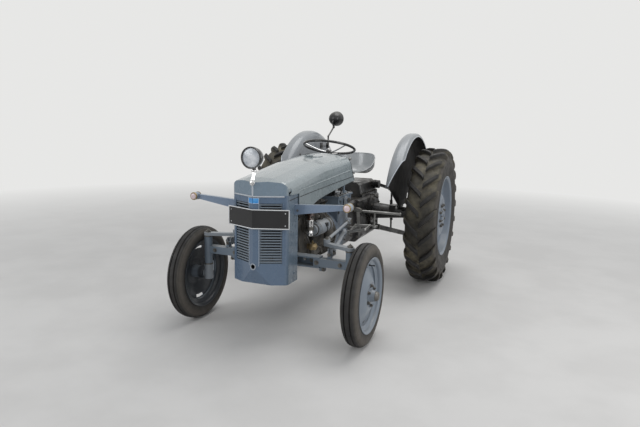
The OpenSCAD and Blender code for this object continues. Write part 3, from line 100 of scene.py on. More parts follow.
def light_studio():
    """Camera, mirrors and glass see the backdrop. The light comes from a dimmer sky and three lamps."""
    world = bpy.context.scene.world or bpy.data.worlds.new("studio")
    bpy.context.scene.world = world
    world.use_nodes = True
    tree = world.node_tree
    tree.nodes.clear()
    seen = add_node(tree, "ShaderNodeBackground", {0: BACKDROP, 1: 1.0}).outputs[0]
    lit = add_node(tree, "ShaderNodeBackground", {0: SKY, 1: 0.5}).outputs[0]
    ray = add_node(tree, "ShaderNodeLightPath").outputs
    share = ray["Is Camera Ray"]
    for kind in ("Is Glossy Ray", "Is Transmission Ray"):
        share = add_node(tree, "ShaderNodeMath", {0: share, 1: ray[kind]}, operation="MAXIMUM").outputs[0]
    mix = add_node(tree, "ShaderNodeMixShader", {0: share, 1: lit, 2: seen}).outputs[0]
    add_node(tree, "ShaderNodeOutputWorld", {0: mix})
    area_light("overhead", (0.9, 1.0, 5.4), (0, 0.1, 0.6), 4.5, 140)
    area_light("front_fill", (-3.6, -5.4, 3.0), (0, -0.8, 0.8), 3.0, 76, (0.96, 0.98, 1.0))
    area_light("left_fill", (4.8, -2.2, 2.0), (0, -0.3, 0.6), 3.0, 60, (0.97, 0.98, 1.0))
    bpy.context.scene.view_settings.view_transform = "Standard"


def lay_floor():
    """Pale floor that turns into the backdrop's colour a few metres out."""
    mesh = bpy.data.meshes.new("floor")
    mesh.from_pydata([(-60, -60, 0), (60, -60, 0), (60, 60, 0), (-60, 60, 0)], [], [(0, 1, 2, 3)])
    floor = link_object("floor", mesh)
    f = Finish("pale_floor", 0.9)
    f.tones(f.noise(1.5, 4), 0.4, 0.6, (204, 202, 199), (210, 208, 205))
    reach = f.length(f.coordinate(0), f.coordinate(1))
    far = f.times(f.span(reach, 2.6, 9.0), f.node("LightPath", {}, out="Is Camera Ray"))
    glow = f.node("Emission", {"Color": BACKDROP, "Strength": 1.0})
    out = f.tree.nodes["Material Output"]
    f.tree.links.new(f.node("MixShader", {0: far, 1: f.shader.outputs[0], 2: glow}), out.inputs["Surface"])
    mesh.materials.append(f.material)


def srgb(r, g, b):
    def line(v):
        v /= 255
        return v / 12.92 if v <= 0.04045 else ((v + 0.055) / 1.055) ** 2.4
    return (line(r), line(g), line(b), 1.0)


# Finishes, by name
FINISH = {}


class Finish:
    """A node material on object coordinates, with short ways to lay out its pattern."""

    def __init__(self, name, rough=0.5, metal=0.0, **sockets):
        self.material = FINISH[name] = bpy.data.materials.new(name)
        self.material.use_nodes = True
        self.tree = self.material.node_tree
        self.shader = self.tree.nodes["Principled BSDF"]
        for key, value in {"Roughness": rough, "Metallic": metal, **sockets}.items():
            self.shader.inputs[key.replace("_", " ")].default_value = value
        self.where = self.node("TexCoord", {}, out="Object")

    def node(self, kind, feeds, out=0, **settings):
        return add_node(self.tree, "ShaderNode" + kind, feeds, **settings).outputs[out]

    def noise(self, scale, detail=3.0, where=None):
        return self.node("TexNoise", {"Vector": where or self.where, "Scale": scale, "Detail": detail,
                                      "Roughness": 0.55})

    def waves(self, scale, direction, **feeds):
        return self.node("TexWave", {"Vector": self.where, "Scale": scale, **feeds},
                         bands_direction=direction)

    def stretched(self, x, y, z):
        return self.node("Mapping", {"Vector": self.where, "Scale": (x, y, z)})

    def span(self, value, low, high, a=0.0, b=1.0):
        return self.node("MapRange", {0: value, 1: low, 2: high, 3: a, 4: b}, clamp=True)

    def maths(self, operation, a, b=0.0):
        return self.node("Math", {0: a, 1: b}, operation=operation)

    def times(self, a, b):
        return self.maths("MULTIPLY", a, b)

    def length(self, a, b):
        return self.maths("SQRT", self.maths("ADD", self.times(a, a), self.times(b, b)))

    def mix(self, share, a, b):
        return self.node("Mix", {0: share, 6: a, 7: b}, out=2, data_type="RGBA")

    def facing(self, axis, sign=1.0, low=0.35, high=0.95):
        """How far the surface faces along one of the object's axes, from 0 to 1."""
        part = self.node("SeparateXYZ", {0: self.node("TexCoord", {}, out="Normal")}, out=axis)
        return self.span(self.times(part, sign), low, high)

    def coordinate(self, axis, middle=0.0):
        return self.maths("SUBTRACT", self.node("SeparateXYZ", {0: self.where}, out=axis), middle)

    def colour(self, value):
        self.tree.links.new(value, self.shader.inputs["Base Color"])

    def tones(self, value, low, high, a, b):
        """Colours the finish between two tones over a span of the value."""
        self.colour(self.mix(self.span(value, low, high), srgb(*a), srgb(*b)))

    def roughness(self, scale, detail, low, high, a, b):
        patches = self.span(self.noise(scale, detail), low, high, a, b)
        self.tree.links.new(patches, self.shader.inputs["Roughness"])

    def bump(self, height, strength, depth):
        normal = self.node("Bump", {"Strength": strength, "Distance": depth, "Height": height})
        self.tree.links.new(normal, self.shader.inputs["Normal"])


def shade(tone, r, g=None, b=None):
    g, b = g or r, b or r
    return (min(1, tone[0] * r), min(1, tone[1] * g), min(1, tone[2] * b), 1)


def paint(name, tone, dust=0.3, rough=0.3, coat=0.35, painted_front_shade=0.0, chips=0.25, painted_inboard_shade=None, peel=0.05):
    """Brushed enamel with a little orange peel, uneven tone, dust on top and small chips. Faces turned
    forward can get a painted bluer shade, and a wheel's inboard side a painted shade.
    """
    tone = srgb(*tone)
    f = Finish(name, rough, Coat_Weight=coat, Coat_Roughness=0.12)
    base = f.mix(f.span(f.noise(2.2, 4), 0.35, 0.65), shade(tone, 0.93), shade(tone, 1.05))
    # Painted shade: faces turned forward get a darker, bluer tone
    if painted_front_shade:
        base = f.mix(f.times(f.facing(1, -1.0, 0.2, 0.9), painted_front_shade), base, shade(tone, 0.62, 0.80, 1.06))
    base = f.mix(f.span(f.noise(9, 3, f.stretched(6, 6, 0.8)), 0.45, 0.75, 0.0, 0.12), base,
                 shade(tone, 0.84))
    film = f.times(f.facing(2), f.span(f.noise(7, 5), 0.3, 0.7, 0.3 * dust, dust))
    base = f.mix(film, base, srgb(176, 172, 162))
    base = f.mix(f.times(f.span(f.noise(95, 2), 0.76, 0.78), chips), base, srgb(66, 64, 62))
    # Painted shade: near black towards the tractor's middle from x_from, and on faces turned towards the
    # middle
    if painted_inboard_shade:
        x_from, x_to, share = painted_inboard_shade
        by_place = f.span(f.maths("ABSOLUTE", f.coordinate(0)), x_from, x_to, share, 0.0)
        left = f.times(f.span(f.coordinate(0), -0.01, 0.01), f.facing(0, -1.0, 0.1, 0.4))
        right = f.times(f.span(f.coordinate(0), -0.01, 0.01, 1.0, 0.0), f.facing(0, 1.0, 0.1, 0.4))
        inboard_shade_mask = f.maths("MAXIMUM", by_place, f.times(f.maths("ADD", left, right), share))
        base = f.mix(inboard_shade_mask, base, srgb(22, 23, 25))
    f.colour(base)
    f.roughness(16, 4, 0.3, 0.7, rough - 0.06, rough + 0.14)
    f.bump(f.noise(260, 2), peel, 0.0005)


def gearbox_paint():
    """Blue grey enamel at the bell, worn to oily iron further back."""
    f = Finish("gearbox_paint", 0.4, Coat_Weight=0.2, Coat_Roughness=0.2)
    along = f.maths("ADD", f.coordinate(1), f.times(f.noise(6, 4), 0.16))
    base = f.mix(f.span(along, -0.14, 0.08), srgb(112, 124, 138), srgb(44, 44, 45))
    f.colour(f.mix(f.span(f.noise(12, 5), 0.45, 0.7, 0.0, 0.4), base, srgb(92, 86, 78)))
    f.roughness(8, 5, 0.35, 0.65, 0.3, 0.6)
    f.bump(f.noise(190, 4), 0.3, 0.001)


def casting(name, tone, dust, dust_share, rough):
    """Rough iron under old paint and oil, brown dust where it settles."""
    f = Finish(name, rough)
    tone, dust = srgb(*tone), srgb(*dust)
    base = f.mix(f.span(f.noise(5, 5), 0.4, 0.62), tone, shade(tone, 0.45))
    base = f.mix(f.span(f.noise(14, 6), 0.42, 0.72, 0.0, dust_share), base, dust)
    settled = f.times(f.facing(2), f.span(f.noise(11, 4), 0.3, 0.6, 0.15, dust_share))
    f.colour(f.mix(settled, base, dust))
    f.roughness(8, 5, 0.35, 0.65, rough - 0.28, rough + 0.15)
    f.bump(f.noise(190, 4), 0.35, 0.0012)


def bare_metal(name, tone, rough, stain, metal=1.0):
    """Plated or machined metal with dull stains and fine scratches."""
    f = Finish(name, rough, metal)
    f.colour(f.mix(f.span(f.noise(22, 5), 0.45, 0.75, 0.0, stain), srgb(*tone), srgb(70, 62, 52)))
    f.roughness(34, 5, 0.3, 0.7, max(0.04, rough - 0.08), rough + 0.18)
    f.bump(f.noise(420, 2, f.stretched(1, 1, 4)), 0.05, 0.0004)


def rubber(name, middle, half_x, dusty, dust, share, side_share):
    """Old tyre rubber: dry dust between the lugs or ribs, a greyer sidewall, fine crazing."""
    f = Finish(name, 0.75)
    radius = f.length(f.coordinate(1, middle[0]), f.coordinate(2, middle[1]))
    from_wall = f.maths("ABSOLUTE", f.maths("SUBTRACT", f.maths("ABSOLUTE", f.coordinate(0)), half_x))
    inner, floor_end, top = dusty
    on_tread, below_top = f.span(radius, inner, inner + 0.02), f.span(radius, floor_end, top, 1.0, 0.0)
    patches = f.times(f.span(f.noise(26, 5), 0.32, 0.62, 0.45, 1.0),
                      f.span(f.noise(3.2, 3), 0.42, 0.62, 0.25, 1.0))
    beige = f.times(f.times(on_tread, below_top), patches)
    base = f.mix(f.span(f.noise(7, 6), 0.35, 0.75, 0.02, 0.16), srgb(26, 26, 27), srgb(104, 98, 90))
    sidewall = f.times(f.span(from_wall, 0.030, 0.048), f.span(radius, inner + 0.016, inner - 0.004))
    sidewall = f.times(sidewall, f.span(radius, inner - 0.05, inner - 0.015, 0.3, 1.0))
    base = f.mix(f.times(sidewall, side_share), base, srgb(140, 131, 119))
    f.colour(f.mix(f.times(beige, share), base, srgb(*dust)))
    f.roughness(20, 4, 0.3, 0.7, 0.58, 0.86)
    f.bump(f.noise(240, 5), 0.25, 0.0008)


CLEAR = {"Coat_Weight": 0.8, "Coat_Roughness": 0.03}


def lamp_glass():
    """Fluted glass with a painted reflection of the dish behind it: brightest at its middle, lighter and
    darker along the flutes.
    """
    f = Finish("lamp_glass", 0.08, Transmission_Weight=0.05, IOR=1.45, **CLEAR)
    flutes = f.waves(34.0, "X", Distortion=1.2, Detail=2.0)
    spread = f.length(f.coordinate(0), f.coordinate(2, LAMP_Z * MM))
    # Painted reflection: pale at the middle, fading outwards, varied by noise and the flutes
    painted_dish_glow = f.maths("ADD", f.span(spread, 0.0, 0.055, 0.75, 0.25),
                     f.span(f.noise(22, 3), 0.35, 0.65, -0.3, 0.3))
    painted_dish_glow = f.maths("ADD", painted_dish_glow, f.span(flutes, 0.2, 0.9, -0.14, 0.14))
    f.tones(painted_dish_glow, 0.0, 1.0, (176, 184, 192), (252, 253, 255))
    f.bump(flutes, 0.25, 0.0008)


# Small finishes: name, roughness, sockets, noise and its span, two tones, and the bump if there is one
TWO_TONES = (
    ("lead_rubber", 0.5, {}, (60, 3, 0.4, 0.7), (20, 20, 20), (58, 54, 50), (300, 2, 0.2, 0.0004)),
    ("hose_rubber", 0.7, {}, (40, 4, 0.4, 0.7), (28, 28, 28), (76, 72, 66), (160, 3, 0.3, 0.0008)),
    ("enamel", 0.14, {"Coat_Weight": 0.6, "Coat_Roughness": 0.05}, (50, 3, 0.4, 0.65),
     (52, 138, 210), (84, 164, 226), (120, 2, 0.05, 0.0004)),
    ("plain_glass", 0.1, {"Transmission_Weight": 0.2, **CLEAR}, (24, 3, 0.3, 0.7),
     (196, 202, 208), (240, 242, 244), (90, 2, 0.15, 0.0006)),
    ("opal_glass", 0.16, {"Coat_Weight": 0.8}, (90, 3, 0.4, 0.7),
     (226, 206, 208), (206, 186, 192), (150, 2, 0.1, 0.0005)),
    ("reflector", 0.10, {"metal": 1.0}, (12, 3, 0.4, 0.7),
     (235, 238, 240), (196, 202, 208), (60, 2, 0.04, 0.0006)),
    ("gauge_face", 0.4, {"Coat_Weight": 0.7}, (30, 3, 0.4, 0.7),
     (24, 24, 24), (36, 35, 34), (200, 2, 0.04, 0.0003)),
    # Near black: the bonnet's joints, and painted shade along its side grooves and in the handle's hole
    ("seam_black", 0.6, {}, (70, 3, 0.4, 0.7), (22, 23, 25), (44, 45, 47), None),
)


def make_finishes():
    # The nose is in the bonnet's own paint: its darker, bluer tone is a painted shade, and its faces turned
    # forward get a further painted shade
    paint("nose_shaded_paint", (103, 117, 130), 0.1, 0.22, 0.5, 0.7, 0.04, peel=0.008)
    paint("bonnet_paint", (138, 148, 151), 0.1, 0.24, 0.6, 0.65, 0.0, peel=0.004)
    paint("lid_paint", (138, 147, 150), 0.12, 0.22, 0.6, 0.0, 0.0, peel=0.004)
    paint("fender_paint", (133, 137, 141), 0.12, 0.30)
    paint("fender_inside", (46, 45, 44), 0.5, 0.6, 0.0)
    paint("chassis_paint", (112, 124, 136), 0.5, 0.40, 0.15)
    # Pale paint for beads and rolled edges, as a painted highlight
    paint("trim_paint", (186, 192, 198), 0.1, 0.25)
    # The wheels' paints darken their inboard side, a painted shade
    paint("front_wheel_paint", (120, 129, 139), 0.3, 0.36, 0.2,
          painted_inboard_shade=(FRONT_X * MM - 0.02, FRONT_X * MM + 0.003, 0.85))
    paint("rear_wheel_paint", (118, 128, 140), 0.3, 0.38, 0.2,
          painted_inboard_shade=(REAR_X * MM - 0.01, REAR_X * MM + 0.018, 0.85))
    paint("link_paint", (140, 146, 152), 0.35, 0.42, 0.1)
    paint("dynamo_paint", (142, 148, 154), 0.4, 0.35, 0.2)
    paint("seat_paint", (172, 175, 176), 0.12, 0.2, 0.5)
    # Faces of the lamp arms turned forward get a painted bluer shade
    paint("arm_paint", (134, 146, 160), 0.12, 0.28, painted_front_shade=0.45)
    paint("black_paint", (26, 26, 28), 0.25, 0.35, 0.2)
    paint("black_gloss", (16, 16, 18), 0.05, 0.16, 0.6)
    paint("cap_brown", (64, 40, 30), 0.2, 0.3, 0.3)
    gearbox_paint()
    casting("dark_casting", (68, 67, 65), (116, 108, 96), 0.55, 0.5)
    casting("oily_casting", (40, 40, 41), (84, 78, 70), 0.35, 0.45)
    casting("rusty_pipe", (70, 56, 46), (118, 92, 70), 0.5, 0.75)
    bare_metal("bright_metal", (226, 226, 226), 0.16, 0.12)
    bare_metal("dull_steel", (158, 158, 156), 0.42, 0.35)
    bare_metal("worn_steel", (120, 118, 114), 0.5, 0.5)
    bare_metal("oily_brass", (168, 148, 112), 0.4, 0.5, 0.7)
    bare_metal("trim_silver", (226, 228, 230), 0.4, 0.08, 0.3)
    rubber("front_rubber", (-MID_Y * MM, FRONT_R * MM), FRONT_X * MM, (0.325, 0.3362, 0.340),
           (112, 106, 96), 0.6, 0.25)
    rubber("rear_rubber", ((REAR_Y - MID_Y) * MM, REAR_R * MM), REAR_X * MM, (0.560, 0.600, 0.612),
           (118, 111, 92), 0.75, 0.2)
    lamp_glass()
    for name, rough, sockets, (scale, detail, low, high), a, b, bump in TWO_TONES:
        f = Finish(name, rough, **sockets)
        f.tones(f.noise(scale, detail), low, high, a, b)
        if bump:
            f.bump(f.noise(*bump[:2]), *bump[2:])
    core = Finish("radiator_core", 0.7)
    fins = core.waves(130.0, "Z")
    core.colour(core.mix(fins, srgb(14, 14, 15), srgb(46, 44, 42)))
    core.bump(fins, 0.4, 0.001)


# What each solid of the frame is finished in
NODE_FINISHES = {
    "nose_shaded_paint": "nose_cowl",
    "arm_paint": "lamp_arms",
    "bonnet_paint": "bonnet_shell",
    "lid_paint": "filler_lid",
    "front_wheel_paint": "front_rim_left front_rim_right",
    "rear_wheel_paint": "rear_rim_left rear_rim_right",
    "fender_paint": "fenders",
    "chassis_paint": "front_axle steering_box dash_panel front_support grille_slats",
    "dynamo_paint": "dynamo",
    "link_paint": "knuckle_left knuckle_right drop_arm_left drop_arm_right drag_link_left "
                  "drag_link_right radius_rods",
    "seat_paint": "seat_pan",
    "dark_casting": "engine_block engine_head fan_drive air_cleaner seat_spring",
    "gearbox_paint": "gearbox_housing",
    "oily_casting": "rear_axle_housing lift_cover lift_arms lift_rod_left lift_rod_right lower_link_left "
                    "lower_link_right",
    "rusty_pipe": "exhaust",
    "black_paint": "battery_box work_lamp fuel_tank number_plate",
    "radiator_core": "radiator",
    "black_gloss": "headlamp steering_wheel",
    "dull_steel": "levers pedals footrests",
    "bright_metal": "ignition_set",
    "lamp_glass": "headlamp_lens",
    "enamel": "badge_plate",
    "front_rubber": "front_tyre_left front_tyre_right",
    "rear_rubber": "rear_tyre_left rear_tyre_right",
}


def finish_solids():
    for finish, names in NODE_FINISHES.items():
        for name in names.split():
            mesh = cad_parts[name].data
            if not mesh.materials:
                mesh.materials.append(FINISH[finish])
            for i in range(len(mesh.materials)):
                mesh.materials[i] = FINISH[finish]


# Forms
def angles(count, shift=0.0):
    """Evenly spread angles of a full turn, shifted by a share of one step."""
    return [math.tau * (i + shift) / count for i in range(count)]


def circle(radius, count, shift=0.0):
    return [(radius * math.cos(a), radius * math.sin(a)) for a in angles(count, shift)]


def mirrored(profile, side):
    return [(side * along, radius) for along, radius in profile]


def both_ways(half):
    """A profile from the middle plane outwards, carried on to the other side."""
    return mirrored(reversed(half[1:]), -1) + half


def in_frame(point):
    return (Vector(point) - Vector((0, MID_Y, 0))) * MM


class Form:
    """Gathers turned, swept and plate forms into one mesh, in millimetres from the front axle."""

    def __init__(self):
        self.bm = bmesh.new()
        self.slot = 0

    def rings(self, rings, closed_ends=True, loop=False):
        made = [[self.bm.verts.new(p) for p in ring] for ring in rings]
        pairs = list(zip(made, made[1:])) + ([(made[-1], made[0])] if loop else [])
        faces = []
        for a, b in pairs:
            n = max(len(a), len(b))
            for i in range(n):
                corners = [a[i % len(a)], a[(i + 1) % len(a)], b[(i + 1) % len(b)], b[i % len(b)]]
                corners = list(dict.fromkeys(corners))
                if len(corners) > 2:
                    faces.append(self.bm.faces.new(corners))
        if closed_ends and not loop:
            for ring in (made[0], made[-1]):
                if len(ring) > 2:
                    faces.append(self.bm.faces.new(ring))
        for face in faces:
            face.material_index = self.slot
        return made

    def turned(self, profile, middle=(0, 0, 0), axis="X", steps=48, matrix=None, loop=False):
        """Profile rows are (distance along the axis, radius)."""
        def point(along, radius, angle):
            c, s = radius * math.cos(angle), radius * math.sin(angle)
            p = {"X": (along, c, s), "Y": (c, along, s), "Z": (c, s, along)}[axis]
            p = Vector(p) + Vector(middle)
            return matrix @ p if matrix else p
        rings = []
        for along, radius in profile:
            if radius < 1e-6:
                rings.append([point(along, 0, 0)])
            else:
                rings.append([point(along, radius, a) for a in angles(steps)])
        self.rings(rings, True, loop)

    def sweep(self, path, section, closed=False, up=(0, 0, 1), twist=None, scale=None):
        """Carries a closed section of (side, up) pairs along a path."""
        path = [Vector(p) for p in path]
        n = len(path)
        frame_up, rings = Vector(up), []
        for i, p in enumerate(path):
            before = path[i - 1] if closed or i else path[0]
            after = path[(i + 1) % n] if closed or i < n - 1 else path[-1]
            ahead = (after - before).normalized()
            side = ahead.cross(frame_up)
            side = side.normalized() if side.length > 1e-4 else ahead.orthogonal().normalized()
            frame_up = side.cross(ahead).normalized()
            a = twist[i] if twist else 0.0
            k = scale[i] if scale else 1.0
            u = side * math.cos(a) + frame_up * math.sin(a)
            v = frame_up * math.cos(a) - side * math.sin(a)
            rings.append([p + u * s * k + v * t * k for s, t in section])
        self.rings(rings, True, closed)

    def sheet(self, rows):
        """Open sheet over rows of points."""
        made = [[self.bm.verts.new(p) for p in row] for row in rows]
        for a, b in zip(made, made[1:]):
            for i in range(len(a) - 1):
                self.bm.faces.new((a[i], b[i], b[i + 1], a[i + 1])).material_index = self.slot

    def tube(self, path, radius, sides=10, closed=False, up=(0, 0, 1)):
        self.sweep(path, circle(radius, sides), closed, up)

    def bands(self, spans, middle, axis="Y", steps=40, matrix=None):
        """Flat bands as (from, to, inner radius, outer radius) along the axis."""
        for a, b, inner, outer in spans:
            self.turned([(a, inner), (a, outer), (b, outer), (b, inner)], middle, axis, steps, matrix, True)

    def slab(self, outline, depth, matrix=None):
        """Outline in X-Y, grown along Z from 0 to depth, then placed by the matrix."""
        matrix = matrix or Matrix.Identity(4)
        rings = [[matrix @ Vector((x, y, z)) for x, y in outline] for z in (0, depth)]
        self.rings(rings)

    def block(self, low, high, matrix=None):
        (x0, y0, z0), (x1, y1, z1) = low, high
        outline = [(x0, y0), (x1, y0), (x1, y1), (x0, y1)]
        self.slab(outline, z1 - z0, (matrix or Matrix.Identity(4)) @ Matrix.Translation((0, 0, z0)))


def mesh_of(bm, mesh, sharp=None):
    """Writes the mesh, smooth but for edges above an angle in degrees."""
    for e in bm.edges if sharp else ():
        e.smooth = len(e.link_faces) == 2 and e.calc_face_angle(0) < math.radians(sharp)
    for f in bm.faces:
        f.smooth = True
    bm.to_mesh(mesh)
    bm.free()
    return mesh


def placed_mesh(name, bm, sharp=None):
    mesh = mesh_of(bm, bpy.data.meshes.new(name), sharp)
    mesh.transform(TO_FRAME)
    return mesh


def piece(name, form, finishes, body, replaces=(), edge=0.0, sharp=32.0):
    bmesh.ops.remove_doubles(form.bm, verts=form.bm.verts, dist=1e-4)
    bmesh.ops.recalc_face_normals(form.bm, faces=form.bm.faces)
    return settle(name, placed_mesh(name, form.bm, sharp), finishes, body, replaces, edge)


def walled(ob, thickness, **settings):
    """Gives an open sheet its wall, inwards from the drawn face."""
    wall = ob.modifiers.new("wall", "SOLIDIFY")
    wall.thickness, wall.offset = thickness * MM, -1
    for key, value in settings.items():
        setattr(wall, key, value)


def settle(name, mesh, finishes, body, replaces=(), edge=0.0):
    ob = link_object(name, mesh)
    mesh.materials.clear()
    for finish in [finishes] if isinstance(finishes, str) else finishes:
        mesh.materials.append(FINISH[finish])
    if edge:
        mod = ob.modifiers.new("edge", "BEVEL")
        mod.width, mod.segments, mod.limit_method = edge * MM, 2, "ANGLE"
        mod.angle_limit = math.radians(40)
    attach(ob, body)
    if replaces:
        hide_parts(*replaces)
    return ob


def arc(c, r, a0, a1, n):
    return [(c[0] + r * math.cos(math.radians(a0 + (a1 - a0) * i / n)),
             c[1] + r * math.sin(math.radians(a0 + (a1 - a0) * i / n))) for i in range(n + 1)]


def smooth(points, steps=6, closed=False):
    """Catmull-Rom curve through the points."""
    pts = [Vector(p) for p in points]
    n, out = len(pts), []
    for i in range(n if closed else n - 1):
        p0 = pts[i - 1] if closed or i else pts[0] * 2 - pts[1]
        p1, p2 = pts[i], pts[(i + 1) % n]
        p3 = pts[(i + 2) % n] if closed or i < n - 2 else pts[-1] * 2 - pts[-2]
        for k in range(steps):
            t = k / steps
            out.append(0.5 * ((2 * p1) + (p2 - p0) * t + (2 * p0 - 5 * p1 + 4 * p2 - p3) * t ** 2
                              + (3 * p1 - p0 - 3 * p2 + p3) * t ** 3))
    return out if closed else out + [pts[-1]]


def set_along(place, ahead):
    """Puts a form drawn along Z at a place, along a direction."""
    return Matrix.Translation(place) @ ahead.to_track_quat("Z", "Y").to_matrix().to_4x4()


def face_matrix(side):
    """Left or right flat face of the nose: x along it, z up, -y outward."""
    turn = Matrix.Rotation(FACE_ANGLE * side, 4, "Z")
    return Matrix.Translation((0, PROW_Y, 0)) @ turn @ Matrix.Diagonal((side, 1, 1, 1))


class Surface:
    """Finds points on solids of the frame, so that trim sits on them."""

    def __init__(self, *names):
        self.trees = []
        for name in names:
            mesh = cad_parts[name].data
            mesh.calc_loop_triangles()
            faces = [tuple(t.vertices) for t in mesh.loop_triangles]
            self.trees.append(BVHTree.FromPolygons([v.co.copy() for v in mesh.vertices], faces))

    def hit(self, start, direction):
        origin = Vector(start) * MM - Vector((0, MID_Y * MM, 0))
        best = None
        for tree in self.trees:
            place, normal, _, distance = tree.ray_cast(origin, Vector(direction).normalized())
            if place and (best is None or distance < best[2]):
                best = (place, normal, distance)
        if not best:
            return None
        return best[0] / MM + Vector((0, MID_Y, 0)), best[1]


# Repeats are node trees
class Group:
    """A geometry node tree, with short ways to add nodes and to hand out its copies in one finish."""

    def __init__(self, name, inputs, output):
        self.tree = bpy.data.node_groups.new(name, "GeometryNodeTree")
        face = self.tree.interface
        for label, kind, value in inputs + [("Finish", "Material", None)]:
            socket = face.new_socket(label, in_out="INPUT", socket_type="NodeSocket" + kind)
            if value is not None:
                socket.default_value = value
        face.new_socket(output, in_out="OUTPUT", socket_type="NodeSocketGeometry")
        self.start = add_node(self.tree, "NodeGroupInput").outputs

    def node(self, kind, feeds=None, **settings):
        return add_node(self.tree, kind, feeds, **settings).outputs[0]

    def maths(self, operation, a, b):
        return self.node("ShaderNodeMath", {0: a, 1: b}, operation=operation)

    def drum(self, sides, radius, height, place):
        made = self.node("GeometryNodeMeshCylinder", {"Vertices": sides, "Radius": radius, "Depth": height})
        return self.node("GeometryNodeTransform", {"Geometry": made, "Translation": place})

    def hand_out(self, copies):
        real = self.node("GeometryNodeRealizeInstances", {"Geometry": copies})
        done = self.node("GeometryNodeSetMaterial", {"Geometry": real, "Material": self.start["Finish"]})
        add_node(self.tree, "NodeGroupOutput", {0: done})
        return self.tree


def fastener_tree():
    """A hexagon and its stud on a washer at each point, turned to the point's facing."""
    g = Group("fasteners", [("Points", "Geometry", None), ("Head radius", "Float", 0.008),
                            ("Head height", "Float", 0.006), ("Washer radius", "Float", 0.011),
                            ("Washer height", "Float", 0.0016)], "Fasteners")
    radius, height, washer = (g.start[k] for k in ("Head radius", "Head height", "Washer height"))
    up = g.node("ShaderNodeCombineXYZ", {2: g.maths("ADD", g.maths("MULTIPLY", height, 0.5), washer)})
    low = g.node("ShaderNodeCombineXYZ", {2: g.maths("MULTIPLY", washer, 0.5)})
    high = g.node("ShaderNodeVectorMath", {0: up, 1: (1, 1, 1.55)}, operation="MULTIPLY")
    unit = add_node(g.tree, "GeometryNodeJoinGeometry")
    for part in (g.drum(6, radius, height, up), g.drum(14, g.start["Washer radius"], washer, low),
                 g.drum(10, g.maths("MULTIPLY", radius, 0.55), height, high)):
        g.tree.links.new(part, unit.inputs[0])
    facing = g.node("GeometryNodeInputNamedAttribute", {"Name": "facing"}, data_type="FLOAT_VECTOR")
    size = g.node("GeometryNodeInputNamedAttribute", {"Name": "size"}, data_type="FLOAT")
    turned = g.node("FunctionNodeAlignRotationToVector", {"Vector": facing}, axis="Z")
    return g.hand_out(g.node("GeometryNodeInstanceOnPoints", {
        "Points": g.start["Points"], "Instance": unit.outputs[0], "Rotation": turned, "Scale": size}))


def ring_tree():
    """Copies of one form, turned round an axis through a middle."""
    g = Group("ring_of_copies", [("Unit", "Geometry", None), ("Count", "Int", 6),
                                 ("Start angle", "Float", None), ("Middle", "Vector", None),
                                 ("Axis", "Vector", (1, 0, 0))], "Copies")
    points = g.node("GeometryNodePoints", {"Count": g.start["Count"], "Position": g.start["Middle"]})
    step = g.maths("DIVIDE", math.tau, g.start["Count"])
    angle = g.maths("ADD", g.maths("MULTIPLY", g.node("GeometryNodeInputIndex"), step),
                    g.start["Start angle"])
    turn = g.node("FunctionNodeAxisAngleToRotation", {0: g.start["Axis"], 1: angle})
    return g.hand_out(g.node("GeometryNodeInstanceOnPoints", {
        "Points": points, "Instance": g.start["Unit"], "Rotation": turn}))


def fasteners(name, body, rows, finish="dull_steel", head=8.0, height=6.0, washer=11.0):
    """Rows are (point, facing, size). The result is a plain mesh of bolts on one body."""
    mesh = bpy.data.meshes.new(name + "_points")
    mesh.from_pydata([in_frame(p) for p, _, _ in rows], [], [])
    mesh.attributes.new("facing", "FLOAT_VECTOR", "POINT").data.foreach_set(
        "vector", [c for _, d, _ in rows for c in Vector(d).normalized()])
    mesh.attributes.new("size", "FLOAT", "POINT").data.foreach_set("value", [float(s) for _, _, s in rows])
    return run_tree(name, mesh, FASTENERS, {"Head radius": head * MM, "Head height": height * MM,
                                            "Washer radius": washer * MM, "Finish": FINISH[finish]},
                    finish, body)


def bolt_circle(middle, radius, count, facing, size, shift=0.0):
    """Rows of fasteners round an axis along X or Y, whichever they face."""
    ring = circle(radius, count, shift)
    if facing[0]:
        return [(Vector(middle) + Vector((0, a, b)), facing, size) for a, b in ring]
    return [(Vector(middle) + Vector((a, 0, b)), facing, size) for a, b in ring]


def run_tree(name, mesh, tree, values, finish, body, replaces=(), sharp=30.0):
    source = link_object(name + "_source", mesh)
    mod = source.modifiers.new("build", "NODES")
    mod.node_group = tree
    for item in tree.interface.items_tree:
        if item.item_type == "SOCKET" and item.in_out == "INPUT" and item.name in values:
            mod[item.identifier] = values[item.name]
    bpy.context.view_layer.update()
    graph = bpy.context.evaluated_depsgraph_get()
    built = bpy.data.meshes.new_from_object(source.evaluated_get(graph))
    built.name = name
    source.modifiers.clear()
    bpy.data.objects.remove(source)
    bm = bmesh.new()
    bm.from_mesh(built)
    bmesh.ops.recalc_face_normals(bm, faces=bm.faces)
    return settle(name, mesh_of(bm, built, sharp), finish, body, replaces)


def ring_of(name, form, count, middle, axis, finish, body, replaces=(), start=0.0, sharp=30.0):
    """Copies a form, drawn about the origin, round an axis through the middle."""
    mesh = bpy.data.meshes.new(name + "_unit")
    bmesh.ops.recalc_face_normals(form.bm, faces=form.bm.faces)
    form.bm.to_mesh(mesh)
    form.bm.free()
    mesh.transform(Matrix.Scale(MM, 4))
    values = {"Count": count, "Start angle": start, "Axis": axis, "Finish": FINISH[finish],
              "Middle": in_frame(middle)}
    return run_tree(name, mesh, RING, values, finish, body, replaces, sharp)


# Wheels
LUGS = 22


